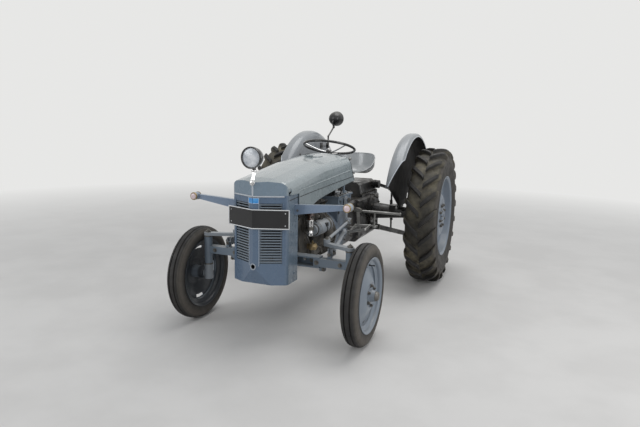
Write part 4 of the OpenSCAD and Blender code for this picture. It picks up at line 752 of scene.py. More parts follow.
def front_tyre(name, side):
    half = [(0, 348), (12, 348), (13.6, 346.4), (14.6, 336), (16, 334), (20, 334), (21.6, 335.6),
            (22.6, 344.5), (24, 345.6), (31, 343.6), (37, 340), (38.2, 338.6), (39, 336), (42, 334.5),
            (46.5, 329), (50, 322), (50.8, 319), (52, 318.4), (53, 316), (55.2, 308), (56.6, 300),
            (57, 294), (56.6, 286), (56.9, 284), (56.2, 281), (54.6, 273), (52.6, 266), (52.8, 264),
            (50.6, 260.5), (47.5, 256), (46, 250), (44, 243), (40, 240.5), (34, 244), (0, 244)]
    form = Form()
    form.turned(both_ways(half), (side * FRONT_X, 0, FRONT_R), "X", 120, loop=True)
    piece(f"front_tyre_{name}_dressed", form, "front_rubber", f"front_wheel_{name}",
          [f"front_tyre_{name}"], sharp=42)


def rear_tyre(name, side):
    half = [(0, 598), (30, 597.4), (60, 595), (88, 588), (104, 581), (116, 571), (124, 560), (129, 549),
            (133.5, 535), (136, 522), (136.4, 512), (138.4, 510), (139.2, 500), (139.4, 488), (138.6, 476),
            (139.6, 473), (139.2, 468), (137, 455), (133, 440), (130, 428), (131, 424), (128.6, 419),
            (126, 409), (125.4, 398), (123, 386), (118, 370), (112, 358), (104, 355.5), (96, 361), (0, 361)]
    form = Form()
    form.turned(both_ways(half), (side * REAR_X, REAR_Y, REAR_R), "X", 132, loop=True)
    piece(f"rear_tyre_{name}_dressed", form, "rear_rubber", f"rear_wheel_{name}",
          [f"rear_tyre_{name}"], sharp=45)
    for hand, half_sign in (("outer", side), ("inner", -side)):
        unit = Form()
        lug(unit, half_sign)
        ring_of(f"rear_lugs_{name}_{hand}", unit, LUGS, (side * REAR_X, REAR_Y, REAR_R), (1, 0, 0),
                "rear_rubber", f"rear_wheel_{name}", [f"rear_tyre_{name}"],
                start=math.pi / LUGS if hand == "outer" else 0.0, sharp=28)


def lug(form, hand):
    """One tread bar from the middle of the tread round the shoulder, about the wheel's centre."""
    rows = [(3, -0.6, 626, 17), (8, 0.0, 629, 19), (30, 2.2, 631, 19), (60, 4.6, 631.5, 19.5),
            (88, 7.2, 627.5, 20), (104, 8.7, 622, 21), (118, 9.8, 613, 22), (130, 10.8, 599, 23),
            (139, 11.7, 580, 22), (139.6, 12.6, 562, 19), (137, 13.2, 545, 14)]
    crown = [(0, 592), (60, 589), (104, 574), (124, 552), (133, 530), (133, 500)]
    rings = []
    for x, turn, top, half_t in rows:
        base = next(r0 + (r1 - r0) * (x - x0) / max(1e-6, x1 - x0)
                    for (x0, r0), (x1, r1) in zip(crown, crown[1:]) if x <= x1 or x1 == 133)
        base = min(base, top - 8)
        inset = 0 if x < 130 else (x - 126)
        ring = []
        for spread, radius, pull in ((half_t + 11, base, inset), (half_t + 2, top - 4, 0),
                                     (half_t - 3, top, 0), (3 - half_t, top, 0), (-half_t - 2, top - 4, 0),
                                     (-half_t - 11, base, inset)):
            angle = math.radians(turn) + spread / REAR_R
            ring.append((hand * (x - pull), radius * math.sin(angle), radius * math.cos(angle)))
        rings.append(ring)
    form.rings(rings)


DISC_STEPS = 144


def wheel_disc(name, middle, side, profile, slot_rows, slots, half_angle, start, finish, body, replaced):
    """Pressed disc over rows of (offset outward, radius), with slots left open and a wall of its own."""
    steps = DISC_STEPS
    form = Form()
    rows = []
    for along, radius in profile:
        rows.append([form.bm.verts.new(Vector(middle) + Vector((side * along, y, z)))
                     for y, z in circle(radius, steps)])
    for k, (a, b) in enumerate(zip(rows, rows[1:])):
        for i in range(steps):
            turn = math.tau * (i + 0.5) / steps - start
            gap = (turn * slots / math.tau + 0.5) % 1 - 0.5
            if k in slot_rows and abs(gap) * math.tau / slots < half_angle:
                continue
            form.bm.faces.new((a[i], a[(i + 1) % steps], b[(i + 1) % steps], b[i]))
    bm = form.bm
    bmesh.ops.recalc_face_normals(bm, faces=bm.faces)
    if sum(face.normal.x for face in bm.faces) * side < 0:
        bmesh.ops.reverse_faces(bm, faces=bm.faces)
    walled(settle(name, placed_mesh(name, bm, 28), finish, body, replaced), 6)


def rim_barrel(name, middle, side, half, inner, steps, finish, body, replaced):
    """The rim's ring, from its outer half profile and the inner one under it."""
    rim = Form()
    outer = half + mirrored(reversed(half[:-1]), -1)
    rim.turned(mirrored(outer + both_ways(inner), side), middle, "X", steps, loop=True)
    piece(name, rim, finish, body, replaced, sharp=36)


def front_wheel(name, side):
    middle = Vector((side * FRONT_X, 0, FRONT_R))
    body, node = f"front_wheel_{name}", [f"front_rim_{name}"]
    half = [(57, 254), (55.5, 257.4), (52.5, 257.6), (50, 254), (48.5, 248), (46, 242.5), (42, 240.2),
            (27, 238.4), (23, 233), (20, 216), (17, 210.8), (0, 210.4)]
    inner = [(0, 206.6), (19, 207), (23, 213), (26, 230), (30, 234), (43, 236), (48, 239), (52, 246),
             (55, 250)]
    rim_barrel(f"front_rim_{name}_barrel", middle, side, half, inner, 120, "front_wheel_paint", body, node)
    profile = [(9, 208.5), (9, 200), (10, 190), (13, 180), (22, 160), (32, 138), (41, 118), (47, 104),
               (50, 95), (50, 89), (48.5, 84), (48, 60), (48, 44)]
    wheel_disc(f"front_disc_{name}", middle, side, profile, (1, 2), 4, math.radians(13), math.pi / 2,
               "front_wheel_paint", body, node)
    hub = Form()
    hub.turned(mirrored([(-50, 20), (-50, 44), (-46, 46), (24, 46), (44, 52), (47.6, 58), (52, 58),
                         (52, 44), (60, 41), (78, 36), (84, 35), (84, 20)], side), middle, "X", 48,
               loop=True)
    piece(f"front_hub_{name}", hub, "front_wheel_paint", body, node, sharp=36)
    cap = Form()
    cap.turned(mirrored([(83, 0), (83, 33), (87, 34), (92, 31.5), (101, 28), (105, 24), (107, 16),
                         (108, 0)], side), middle, "X", 40)
    piece(f"front_grease_cap_{name}", cap, "worn_steel", body, node)
    rows = bolt_circle(middle + Vector((side * 49, 0, 0)), 68, 6, (side, 0, 0), 1.0, 0.5)
    fasteners(f"front_nuts_{name}", body, rows, "worn_steel", head=10.5, height=12, washer=13.5)
    valve = Form()
    valve.turned(mirrored([(12, 0.1), (12, 5), (22, 5), (24, 3.4), (44, 3.4), (45, 4.4), (54, 4.4),
                           (55, 0)], side), middle + Vector((0, 60, 190)), "X", 12)
    piece(f"front_valve_{name}", valve, "lead_rubber", body)


def rear_wheel(name, side):
    middle = Vector((side * REAR_X, REAR_Y, REAR_R))
    body, node = f"rear_wheel_{name}", [f"rear_rim_{name}"]
    half = [(125, 371), (124, 375), (120, 375.4), (117, 371), (114, 362), (110, 355), (104, 352.6),
            (60, 351), (48, 344), (42, 322), (35, 312), (30, 309.4), (0, 309)]
    inner = [(0, 304.4), (32, 305), (38, 309), (46, 319), (52, 340), (62, 346), (104, 348), (113, 351),
             (119, 360), (122, 367)]
    rim_barrel(f"rear_rim_{name}_barrel", middle, side, half, inner, 144, "rear_wheel_paint", body, node)
    profile = [(22, 306), (22, 296), (24, 284), (29, 270), (40, 250), (54, 228), (69, 208), (81, 194),
               (89, 184), (93, 174), (94, 160), (92, 146), (91, 120), (91, 84), (91, 60)]
    wheel_disc(f"rear_disc_{name}", middle, side, profile, (1, 2, 3, 4), 2, math.radians(32), math.pi / 2,
               "rear_wheel_paint", body, node)
    hub = Form()
    hub.turned(mirrored([(-160, 20), (-160, 28), (-120, 28), (-120, 78), (-112, 84), (-90, 84), (-84, 72),
                         (72, 70), (80, 128), (84.6, 130), (84.6, 62), (96, 62), (100, 56), (106, 54),
                         (112, 40), (112, 20)], side), middle, "X", 56, loop=True)
    hub.turned(mirrored([(100, 0), (100, 24), (106, 22), (107, 0)], side), middle, "X", 24)
    piece(f"rear_hub_{name}", hub, "rear_wheel_paint", body, node, sharp=36)
    # Eight wheel nuts, and six small ones round the hub's cap
    rows = bolt_circle(middle + Vector((side * 91.5, 0, 0)), 101.6, 8, (side, 0, 0), 1.0, 0.5)
    rows += bolt_circle(middle + Vector((side * 98, 0, 0)), 50, 6, (side, 0, 0), 0.6)
    fasteners(f"rear_nuts_{name}", body, rows, "worn_steel", head=13, height=15, washer=18)
    rows = []
    for a in (-0.42, 0.42, math.pi - 0.42, math.pi + 0.42):
        rows.append((middle + Vector((side * 22.5, 298 * math.cos(a), 298 * math.sin(a))), (side, 0, 0),
                     0.8))
    fasteners(f"rear_rim_bolts_{name}", body, rows, "worn_steel", head=11, height=9, washer=15)


# Front lamp
def headlamp():
    middle = (0, LAMP_Y, LAMP_Z)
    bowl = Form()
    bowl.turned([(14, 59.5), (7, 60), (3, 61.5), (0.5, 64.5), (0, 67), (1.5, 69.6), (5, 70.4), (13, 70.4),
                 (15, 69), (16.5, 66.5), (21, 65.8), (23, 67.4), (29, 67.6), (31, 66), (34, 65.4),
                 (44, 64.6), (56, 62), (68, 57.4), (80, 50.5), (91, 42), (100, 32), (107, 20), (111, 9),
                 (112, 0)], middle, "Y", 72)
    bowl.tube([(0, LAMP_Y + 50, LAMP_Z - 58), (0, LAMP_Y + 48, LAMP_Z - 72), (0, LAMP_Y + 47, LAMP_Z - 84)],
              12, 20, up=(0, 1, 0))
    piece("headlamp_bowl", bowl, "black_gloss", "bonnet", ["headlamp"])
    dish = Form()
    inner = [(14 + 40 * (1 - (r / 60) ** 2), r) for r in (60, 54, 47, 40, 32, 24, 16, 9)]
    dish.turned(inner + [(a + 3, r) for a, r in reversed(inner)], middle, "Y", 72, loop=True)
    dish.turned([(52, 8.5), (40, 8.5), (38, 10), (34, 11), (28, 9.5), (24, 5), (23, 0)], middle, "Y", 24)
    piece("headlamp_dish", dish, "reflector", "bonnet", ["headlamp", "headlamp_lens"])
    lens = Form()
    front, back = [], []
    for k in range(16):
        r = 60.0 * k / 15
        bulge = 8.5 - 7.5 * (1 - (r / 60) ** 2)
        points = circle(r, 144 if k else 1)
        flutes = [0.7 * abs(math.sin(math.pi * x / 9.0)) * max(0.0, 1 - (r / 58) ** 8) for x, _ in points]
        front.append([(x, LAMP_Y + bulge + flute, LAMP_Z + z) for (x, z), flute in zip(points, flutes)])
        back.append([(x, LAMP_Y + bulge + 3.2, LAMP_Z + z) for x, z in points])
    lens.rings(front + back[::-1], False)
    piece("headlamp_glass", lens, "lamp_glass", "bonnet", ["headlamp_lens"], sharp=60)
    bracket = Form()
    path = smooth([(0, LAMP_Y + 46, LAMP_Z - 80), (0, LAMP_Y + 44, LAMP_Z - 96),
                   (0, LAMP_Y + 36, LAMP_Z - 120), (0, LAMP_Y + 28, LAMP_Z - 140), (0, PROW_Y - 7, 1094)],
                  5)
    section = [(-15, -2), (-14, -3), (14, -3), (15, -2), (15, 2), (14, 3), (-14, 3), (-15, 2)]
    waist = [math.sin(math.pi * i / (len(path) - 1)) for i in range(len(path))]
    bracket.sweep(path, section, twist=[math.radians(62) * w for w in waist], up=(0, 1, 0),
                  scale=[1.0 - 0.25 * w for w in waist])
    bracket.turned([(0, 0), (0, 15), (-2, 17.5), (-5, 18), (-8, 16.5), (-9, 10), (-9, 0)],
                   (0, PROW_Y - 0.5, 1093), "Y", 32)
    bracket.turned([(0, 0), (0, 11), (-8, 11), (-9, 9), (-9, 5.5), (-15, 5.5), (-16, 0)],
                   (0, PROW_Y - 8.5, 1093), "Y", 6)
    bracket.turned([(0, 0.1), (0, 16), (5, 17), (10, 16), (12, 0)], (0, LAMP_Y + 47, LAMP_Z - 90), "Z", 24)
    piece("headlamp_bracket", bracket, "bright_metal", "bonnet", ["headlamp"])


# Nose trim
def number_plate_border():
    low, high, w, t = 797.0, 925.0, 6.0, 1.6
    form = Form()
    back, across = 87, 225
    slope, length = math.atan2(back, across), math.hypot(back, across)
    for side in (1, -1):
        matrix = (Matrix.Translation((0, PROW_Y - 8, 0)) @ Matrix.Rotation(slope * side, 4, "Z")
                  @ Matrix.Diagonal((side, 1, 1, 1)))
        for z0 in (low, high - w):
            form.block((-0.6, -t, z0), (length, 0.4, z0 + w), matrix)
        form.block((length - w, -t, low + w), (length, 0.4, high - w), matrix)
        for z in (low + 24, high - 24):
            m = matrix @ Matrix.Translation((214, 0, z))
            form.rings([[m @ Vector((x * k, -y, z)) for x, z in circle(3.6, 12)]
                        for k, y in ((1, -0.2), (1, 1.2), (0.6, 2.4))])
    piece("number_plate_border", form, "trim_silver", "bonnet", edge=0.5)


def nose_trim():
    form = Form()
    for side in (1, -1):
        m = face_matrix(side)
        # Bead that runs round the nose under the bonnet's front wall, pale as a painted highlight
        form.tube([m @ Vector((x, -1.5, 1006)) for x in (0, 60, 130, 203)], 5.4, 14)
        # Pressed lines beside the middle band, down to the foot's cut
        form.tube([m @ Vector((40.5, 0.2, z)) for z in (566, 700, 850, 962)], 1.6, 8, up=(1, 0, 0))
        form.tube([m @ Vector((40.5, 0.3, 566)), m @ Vector((37.5, 0.2, 548))], 1.6, 8, up=(1, 0, 0))
    form.tube([(0, PROW_Y - 1, z) for z in (1010, 1040, 1074)], 5.4, 14, up=(1, 0, 0))
    # The beads and pressed lines are in the nose's own paint; their pale tone is a painted highlight
    piece("nose_bead", form, "trim_paint", "bonnet")
    # Rim round the starting handle's hole, pale as a painted highlight
    ring = Form()
    path = [(17 * math.cos(a), PROW_Y + 6.5 * abs(math.cos(a)) - 1.5, 545 + 17 * math.sin(a) * 1.15)
            for a in angles(32)]
    ring.tube(path, 2.6, 8, closed=True, up=(0, 1, 0))
    piece("handle_hole_rim", ring, "trim_paint", "bonnet")
    # Near-black cup inside the starting handle's hole: painted shade
    bore = Form()
    bore.turned([(PROW_Y + 3, 12.4), (PROW_Y + 3, 13.6), (PROW_Y + 58, 13.6), (PROW_Y + 58, 0),
                 (PROW_Y + 55, 0), (PROW_Y + 55, 12.4)], (0, 0, 545), "Y", 32, loop=True)
    piece("handle_bore", bore, "seam_black", "bonnet")


def badge_edge():
    form = Form()
    for side in (1, -1):
        m = face_matrix(side)
        x0, x1, z0, z1, y = 0.6, 39.6, 961.6, 996.4, -4.0
        path = [(x0, z0), (x1, z0), (x1, z1), (x0, z1)]
        for (xa, za), (xb, zb) in zip(path, path[1:] + path[:1]):
            if xa == xb == x0:
                continue
            form.tube([m @ Vector((xa, y, za)), m @ Vector((xb, y, zb))], 1.0, 8, up=(0, 1, 0))
    piece("badge_edge", form, "trim_silver", "bonnet")


def bonnet_trim():
    skin = Surface("bonnet_shell")
    nose = Surface("nose_cowl", "bonnet_shell")
    seam = Form()
    for side in (1, -1):
        def run(points, lift, surface=skin):
            path = []
            for y, z in points:
                found = surface.hit((side * 420, y, z), (-side, 0, 0))
                if found:
                    path.append(found[0] + found[1] * lift)
            return path
        # Dark strip along the line under the side bead: painted shade of the groove there
        low = smooth([(-236, 978, 0), (0, 993, 0), (252, 1008, 0), (560, 1024, 0), (930, 1041, 0)], 9)
        path = run([(p.x, p.y) for p in low], 0.0, nose)
        seam.sweep(path, [(-1, -2.2), (1, -2.2), (1, 2.2), (-1, 2.2)])
        rear = [(955, 1008), (940, 1030), (916, 1066), (884, 1115), (868, 1150), (856, 1178)]
        seam.tube(run(rear, 0.2), 2.6, 8)
    roof = []
    for i in range(25):
        x = -176 + 352 * i / 24
        found = skin.hit((x, 838, 1400), (0, 0, -1))
        if found:
            roof.append(found[0] + found[1] * 0.2)
    seam.tube(roof, 2.6, 8)
    piece("bonnet_seam", seam, "seam_black", "bonnet")


# Steering wheel
def steering_wheel():
    place = ALONG_COLUMN
    rim = Form()
    path = [place @ Vector((x, y, 46)) for x, y in circle(216, 144)]
    up = place.to_3x3() @ Vector((0, 0, 1))
    rim.sweep(path, circle(11, 16), closed=True, up=up, scale=[1.0 if i % 3 else 0.955 for i in range(144)])
    rim.turned([(-36, 14), (-36, 25), (-32, 27), (10, 27), (15, 25), (17, 22), (24, 17), (25, 0)],
               (0, 0, 0), "Z", 40, matrix=place)
    piece("steering_rim", rim, "black_gloss", "steering_wheel_body", ["steering_wheel"],
          sharp=50)
    spokes = Form()
    for k in range(3):
        a = math.radians(90 + 120 * k)
        c, s = math.cos(a), math.sin(a)
        line = smooth([place @ Vector((r * c, r * s, z)) for r, z in ((20, 2), (70, 6), (130, 20),
                                                                      (180, 36), (212, 45))], 5)
        spokes.tube(line, 6.6, 12, up=up)
    spokes.turned([(24, 0.1), (24, 14), (32, 14), (33, 12), (33, 7), (38, 7), (39, 0)], (0, 0, 0), "Z", 6,
                  matrix=place)
    piece("steering_spokes", spokes, "bright_metal", "steering_wheel_body",
          ["steering_wheel"])


# Fenders
FENDER_IN, FENDER_OUT, FENDER_R, FENDER_BLEND, FENDER_LIP = 462.0, 588.0, 755.0, 62.0, 30.0
FENDER_Z = REAR_R + 8
FENDER_FROM, FENDER_TO, FENDER_STEPS = 24.6, 166.4, 96
FRONT_CUT, FRONT_CUT_FACING = (531.0, 1186.0, 1023.5), (0.951, -0.168, -0.259)
WALL_FOOT = [(1087, 950), (1245, 922), (1640, 704), (1916, 704), (1968, 802), (2460, 803)]


def wall_foot(y):
    for (y0, z0), (y1, z1) in zip(WALL_FOOT, WALL_FOOT[1:]):
        if y <= y1:
            return z0 + (z1 - z0) * (y - y0) / (y1 - y0)
    return WALL_FOOT[-1][1]


def fender(name, side):
    """Pressed shell: flat inner wall, rounded crown, rolled lip, and an obliquely cut front."""
    blend, lip = FENDER_BLEND, FENDER_LIP
    crown = arc((FENDER_IN + blend, FENDER_R - blend), blend, 180, 90, 9)
    crown += [(x, FENDER_R) for x in (FENDER_IN + blend + 18, FENDER_OUT - lip - 4)]
    crown += arc((FENDER_OUT - lip, FENDER_R - lip), lip, 90, 0, 6)
    cut_at, cut_facing = Vector(FRONT_CUT), Vector(FRONT_CUT_FACING)
    form, rows, edge = Form(), [], []
    for i in range(FENDER_STEPS + 1):
        a = math.radians(FENDER_FROM + (FENDER_TO - FENDER_FROM) * i / FENDER_STEPS)
        wall_r = FENDER_R - blend
        y, z = REAR_Y - wall_r * math.cos(a), FENDER_Z + wall_r * math.sin(a)
        low = min(z, wall_foot(y))
        row = [Vector((FENDER_IN, y, low + (z - low) * t / 6)) for t in range(6)]
        row += [Vector((x, REAR_Y - r * math.cos(a), FENDER_Z + r * math.sin(a))) for x, r in crown]
        rows.append(row)
        outside = [k for k, q in enumerate(row) if k > 6 and (q - cut_at).dot(cut_facing) > 0]
        if outside:
            k = outside[0]
            before, after = (row[k - 1] - cut_at).dot(cut_facing), (row[k] - cut_at).dot(cut_facing)
            edge.append(row[k - 1].lerp(row[k], -before / (after - before)))
        else:
            edge.append(row[-1])
    form.sheet([[Vector((side * q.x, q.y, q.z)) for q in row] for row in rows])
    bm = form.bm
    bmesh.ops.remove_doubles(bm, verts=bm.verts, dist=0.01)
    bmesh.ops.bisect_plane(bm, geom=bm.verts[:] + bm.edges[:] + bm.faces[:], clear_outer=True, dist=0.01,
                           plane_co=(side * FRONT_CUT[0], *FRONT_CUT[1:]),
                           plane_no=(side * FRONT_CUT_FACING[0], *FRONT_CUT_FACING[1:]))
    bmesh.ops.recalc_face_normals(bm, faces=bm.faces)
    top = max(bm.faces, key=lambda face: face.calc_center_median().z)
    if top.normal.z < 0:
        bmesh.ops.reverse_faces(bm, faces=bm.faces)
    shell = settle(f"fender_{name}", placed_mesh(f"fender_{name}", bm), ["fender_paint", "fender_inside"],
                   "chassis", ["fenders"])
    walled(shell, 4, material_offset=1, material_offset_rim=0)
    # Rolled lip along the cut front, pale as a painted highlight
    roll = Form()
    roll.tube([Vector((side * (q.x - 1.5), q.y, q.z)) for q in edge], 4.2, 8, up=(1, 0, 0))
    piece(f"fender_{name}_roll", roll, "trim_paint", "chassis", ["fenders"])
    foot = Form()
    for x0, x1, z0, z1 in ((FENDER_IN - 34, FENDER_IN, 683, 712), (FENDER_IN - 8, FENDER_IN, 704, 770)):
        low_x, high_x = sorted((side * x0, side * x1))
        foot.block((low_x, REAR_Y - 62, z0), (high_x, REAR_Y + 62, z1))
    lead = smooth([(side * x, y, z) for x, y, z in (
        (470, 1620, 1180), (472, 1540, 1210), (472, 1440, 1180), (472, 1360, 1110), (471, 1300, 1030),
        (470, 1286, 960))], 5)
    foot.tube(lead, 5, 8)
    piece(f"fender_{name}_foot", foot, "black_paint", "chassis", ["fenders"], edge=1.5)
    rows = [((side * (FENDER_IN - 8.2), REAR_Y + dy, 742), (-side, 0, 0), 1.1) for dy in (-40, 0, 40)]
    rows += [((side * (FENDER_IN - 0.2), y, z), (-side, 0, 0), 0.9)
             for y, z in ((1298, 1060), (1400, 1175), (1935, 1242), (2200, 1120))]
    rows += [((side * (FENDER_IN + 4.2), y, z), (side, 0, 0), 0.9) for y, z in ((1298, 1060), (1400, 1175))]
    fasteners(f"fender_{name}_bolts", "chassis", rows, "worn_steel", head=8, height=6, washer=12)


def work_lamp_trim():
    middle = Vector((-430, REAR_Y + 492, 1524))
    rim = Form()
    rim.turned([(14, 70), (14, 77.8), (20, 78.9), (27, 78.6), (31, 76.5), (32.5, 73), (31, 69.5), (26, 69)],
               middle, "Y", 64, loop=True)
    for x in (-18, 18):
        rim.turned([(0, 0), (0, 5), (7, 5), (8, 3), (8, 0)], middle + Vector((x, -60, -66)), "X", 10)
    rim.tube(smooth([middle + Vector(q) for q in ((0, -86, -20), (0, -104, -48), (4, -92, -84),
                                                  (0, -68, -96))], 5), 4, 8)
    piece("work_lamp_rim", rim, "black_gloss", "chassis")
    lens = Form()
    lens.turned([(22, 0)] + [(22 + 7 * (1 - (r / 69) ** 2), r) for r in (69, 60, 50, 40, 30, 20, 10)]
                + [(29, 0)], middle, "Y", 48)
    piece("work_lamp_glass", lens, "plain_glass", "chassis")
    strap = Form()
    strap.block((-FENDER_IN, 1906, 1236), (-389, 1964, 1243))
    strap.block((-FENDER_IN, 1906, 1212), (-FENDER_IN + 6, 1964, 1272))
    piece("work_lamp_strap", strap, "black_paint", "chassis", edge=1.5)
    rows = [((-388.5, 1935 + dy, 1243 + dz), (1, 0, 0), 0.8) for dy, dz in ((-20, 16), (20, 16), (0, -16))]
    fasteners("work_lamp_bolts", "chassis", rows, "worn_steel")


# Engine, left and right. Places of its parts, and of the four plugs and ports along the head
COIL, DISTRIBUTOR = (176.0, 178.0), (148.0, 250.0)
DYNAMO_X, DYNAMO_Z = 168.0, 700.0
PUMP, FILTER = (150, 296, 566), (154, 610, 0)
SILENCER, CLEANER, CARBURETTOR = (-185, 0, 430), (-197, 618, 0), (-158, 420, 0)
PORTS = [240.0 + 104.0 * k for k in range(4)]
BELL_R, BELL_Z = 180, 590


def ignition():
    x, y = COIL
    coil = Form()
    coil.turned([(672, 0), (672, 22), (675, 25), (690, 25.4), (694, 26.6), (698, 25.4), (770, 25.4),
                 (775, 26.8), (785, 26.8), (789, 24), (789, 0)], (x, y, 0), "Z", 48)
    piece("coil", coil, "bright_metal", "chassis", ["ignition_set"])
    cap = Form()
    cap.turned([(789, 0), (789, 22), (794, 21), (800, 12), (806, 9), (818, 8.5), (820, 0)], (x, y, 0), "Z",
               32)
    for tap in (-13, 13):
        cap.turned([(795, 0.1), (795, 3), (806, 3), (807, 0)], (x + tap, y, 0), "Z", 10)
    # Distributor with its towers
    dx, dy = DISTRIBUTOR
    cap.turned([(803, 0), (803, 31), (808, 31), (818, 27), (824, 20), (826, 0)], (dx, dy, 0), "Z", 40)
    towers = [(dx + a, dy + b) for a, b in circle(17, 4, 0.5)]
    for tx, ty in towers + [(dx, dy)]:
        cap.turned([(818, 0), (818, 6.5), (836, 5.5), (838, 7), (846, 6.6), (848, 0)], (tx, ty, 0), "Z", 16)
    piece("ignition_caps", cap, "cap_brown", "chassis", ["ignition_set"])
    body = Form()
    body.turned([(728, 0), (728, 11), (764, 12), (768, 22), (776, 29), (800, 30), (803, 31), (803, 0)],
                (dx, dy, 0), "Z", 40)
    body.block((112.2, 238, 742), (152, 262, 756))
    body.block((112.2, 166, 700), (152, 190, 750))
    body.bands([(712, 738, 26, 28.6)], (x, y, 0), "Z")
    body.tube([(dx + 30, dy - 4, 800), (dx + 31, dy - 4, 812), (dx + 27, dy - 3, 822)], 1.6, 6)
    piece("ignition_bodies", body, "worn_steel", "chassis", ["ignition_set"], edge=0.6)
    # Leads to the plugs and from the coil
    leads = Form()
    lean = Matrix.Rotation(math.radians(60), 4, "Y")
    for k, ((tx, ty), plug_y) in enumerate(zip(towers, PORTS)):
        mid_y = (ty + plug_y) / 2
        path = [(tx, ty, 846), (tx, ty, 862), (tx + 6, ty + 0.3 * (plug_y - ty), 884 + 5 * k),
                (150, mid_y + 12, 890 + 6 * k), (160, plug_y - 10, 884), (158, plug_y, 874),
                (146, plug_y, 866)]
        leads.tube(smooth(path, 5), 3.6, 8)
        leads.turned([(0, 0), (0, 6), (16, 6.6), (20, 4.5), (22, 0)], (0, 0, 0), "Z", 14,
                     matrix=Matrix.Translation((139, plug_y, 861.7)) @ lean)
    leads.tube(smooth([(x, y, 818), (x, y + 2, 836), (168, 200, 862), (154, 232, 872), (dx, dy, 862),
                       (dx, dy, 846)], 6), 3.8, 8)
    leads.tube(smooth([(x + 13, y, 805), (x + 20, y + 10, 814), (190, 230, 780), (182, 300, 748),
                       (150, 380, 740), (118, 420, 742)], 5), 2.4, 6)
    piece("ignition_leads", leads, "lead_rubber", "chassis", ["ignition_set"])
    white = Form()
    for plug_y in PORTS:
        white.turned([(8, 0.1), (8, 12.5), (22, 12.5), (22, 9), (24, 8), (24, 6)], (0, 0, 0), "Z", 6,
                     matrix=Matrix.Translation((98, plug_y, 838)) @ lean)
    piece("plug_bodies", white, "dull_steel", "chassis")


def dynamo_trim():
    form = Form()
    x, z = DYNAMO_X, DYNAMO_Z
    form.bands([(470, 500, 54, 56.6), (296, 304, 54, 56.2)], (x, 0, z), "Y", 48)
    for dx, dz in circle(40, 4, 0.5):
        form.turned([(266, 0), (266, 4.5), (271, 4.5), (271, 0)], (x + dx, 0, z + dz), "Y", 6)
    # Fan vanes behind the pulley
    for a in angles(14):
        m = Matrix.Translation((x, 0, z)) @ Matrix.Rotation(a, 4, "Y")
        form.block((-1.2, 258, 14), (1.2, 269, 46), m)
    form.bands([(256, 258, 12, 46)], (x, 0, z))
    form.turned([(0, 0), (0, 9), (10, 9), (11, 4.5), (18, 4.5), (19, 0)], (x, 226, z), "Y", 6)
    piece("dynamo_fittings", form, "worn_steel", "chassis", edge=0.4)
    box = Form()
    box.block((206, 380, 706), (226, 424, 734))
    box.block((150, 396, 752), (178, 430, 764))
    piece("dynamo_terminals", box, "black_paint", "chassis", edge=2)
    lead = Form()
    lead.tube(smooth([(164, 412, 763), (166, 402, 786), (150, 380, 812), (122, 360, 830), (104, 352, 842)],
                     6), 3.2, 8)
    lead.tube(smooth([(222, 402, 708), (230, 398, 690), (214, 420, 660), (170, 470, 640), (128, 500, 648)],
                     6), 3.0, 8)
    piece("dynamo_leads", lead, "lead_rubber", "chassis")
    # Belt round two pulleys, one above the other, in the plane behind the radiator
    belt = Form()
    path = [Vector((p, 72, q)) for p, q in arc((0, 780), 59, 15, 165, 14) + arc((0, 590), 50, 195, 345, 14)]
    belt.sweep(path, [(-4, -3), (4, -3), (6, 4), (-6, 4)], closed=True, up=(0, 1, 0))
    piece("fan_belt", belt, "hose_rubber", "chassis")


def fuel_side():
    """Lift pump with its bowl, oil pipes and the filter's head on the left of the block."""
    body = Form()
    m = Matrix.Translation(PUMP)
    body.turned([(-26, 0), (-26, 24), (-20, 31), (-8, 34), (-4, 38), (4, 38), (8, 34), (16, 32), (24, 24),
                 (28, 12), (28, 0)], (0, 0, 0), "Z", 40, matrix=m)
    body.block((112.2, 276, 548), (130, 316, 584))
    body.turned([(28, 0), (28, 7), (34, 7), (35, 4), (44, 4), (45, 0)], (0, 0, 0), "Z", 6, matrix=m)
    piece("lift_pump", body, "oily_brass", "chassis", edge=0.6)
    bowl = Form()
    bowl.turned([(-62, 0), (-62, 18), (-58, 22), (-30, 24), (-26, 24), (-26, 0)], PUMP, "Z", 32)
    bowl.turned([(560, 0), (560, 39), (556, 41.5), (552, 36), (548, 12), (547, 0)], FILTER, "Z", 32)
    piece("filter_bowls", bowl, "worn_steel", "chassis")
    pipes = Form()
    pipes.tube(smooth([(150, 268, 590), (150, 240, 604), (146, 214, 640), (128, 206, 690), (118, 208, 760),
                       (112, 250, 806), (108, 300, 812)], 6), 3.4, 8)
    pipes.tube(smooth([(176, 316, 560), (190, 350, 552), (170, 430, 500), (140, 520, 492), (120, 600, 500)],
                      6), 3.4, 8)
    pipes.tube(smooth([(154, 610, 694), (158, 600, 720), (140, 560, 760), (120, 520, 790), (104, 500, 806)],
                      6), 3.6, 8)
    pipes.tube(smooth([(118, 610, 668), (124, 640, 700), (118, 652, 760), (100, 650, 846)], 6), 3.0, 8)
    piece("engine_pipes", pipes, "worn_steel", "chassis")
    stick = Form()
    stick.tube([(120, 452, 640), (126, 452, 760)], 3, 8)
    stick.tube([(126 + x, 452, 770 + z) for x, z in circle(9, 16)], 1.8, 6, closed=True, up=(0, 1, 0))
    piece("dipstick", stick, "dull_steel", "chassis")


def hose_clamps():
    form = Form()
    for a, b, r in (((60, -126, 980), (60, 88.6, 950), 22), ((-130, -126, 646), (-116, 77, 660), 20)):
        a, b = Vector(a), Vector(b)
        ahead = (b - a).normalized()
        for t in (0.08, 0.9):
            m = set_along(a.lerp(b, t), ahead)
            form.bands([(-6, 6, r - 1, r + 1.6)], (0, 0, 0), "Z", 36, m)
            form.block((-7, r, -4), (7, r + 8, 4), m)
    piece("hose_clamps", form, "dull_steel", "chassis", edge=0.4)


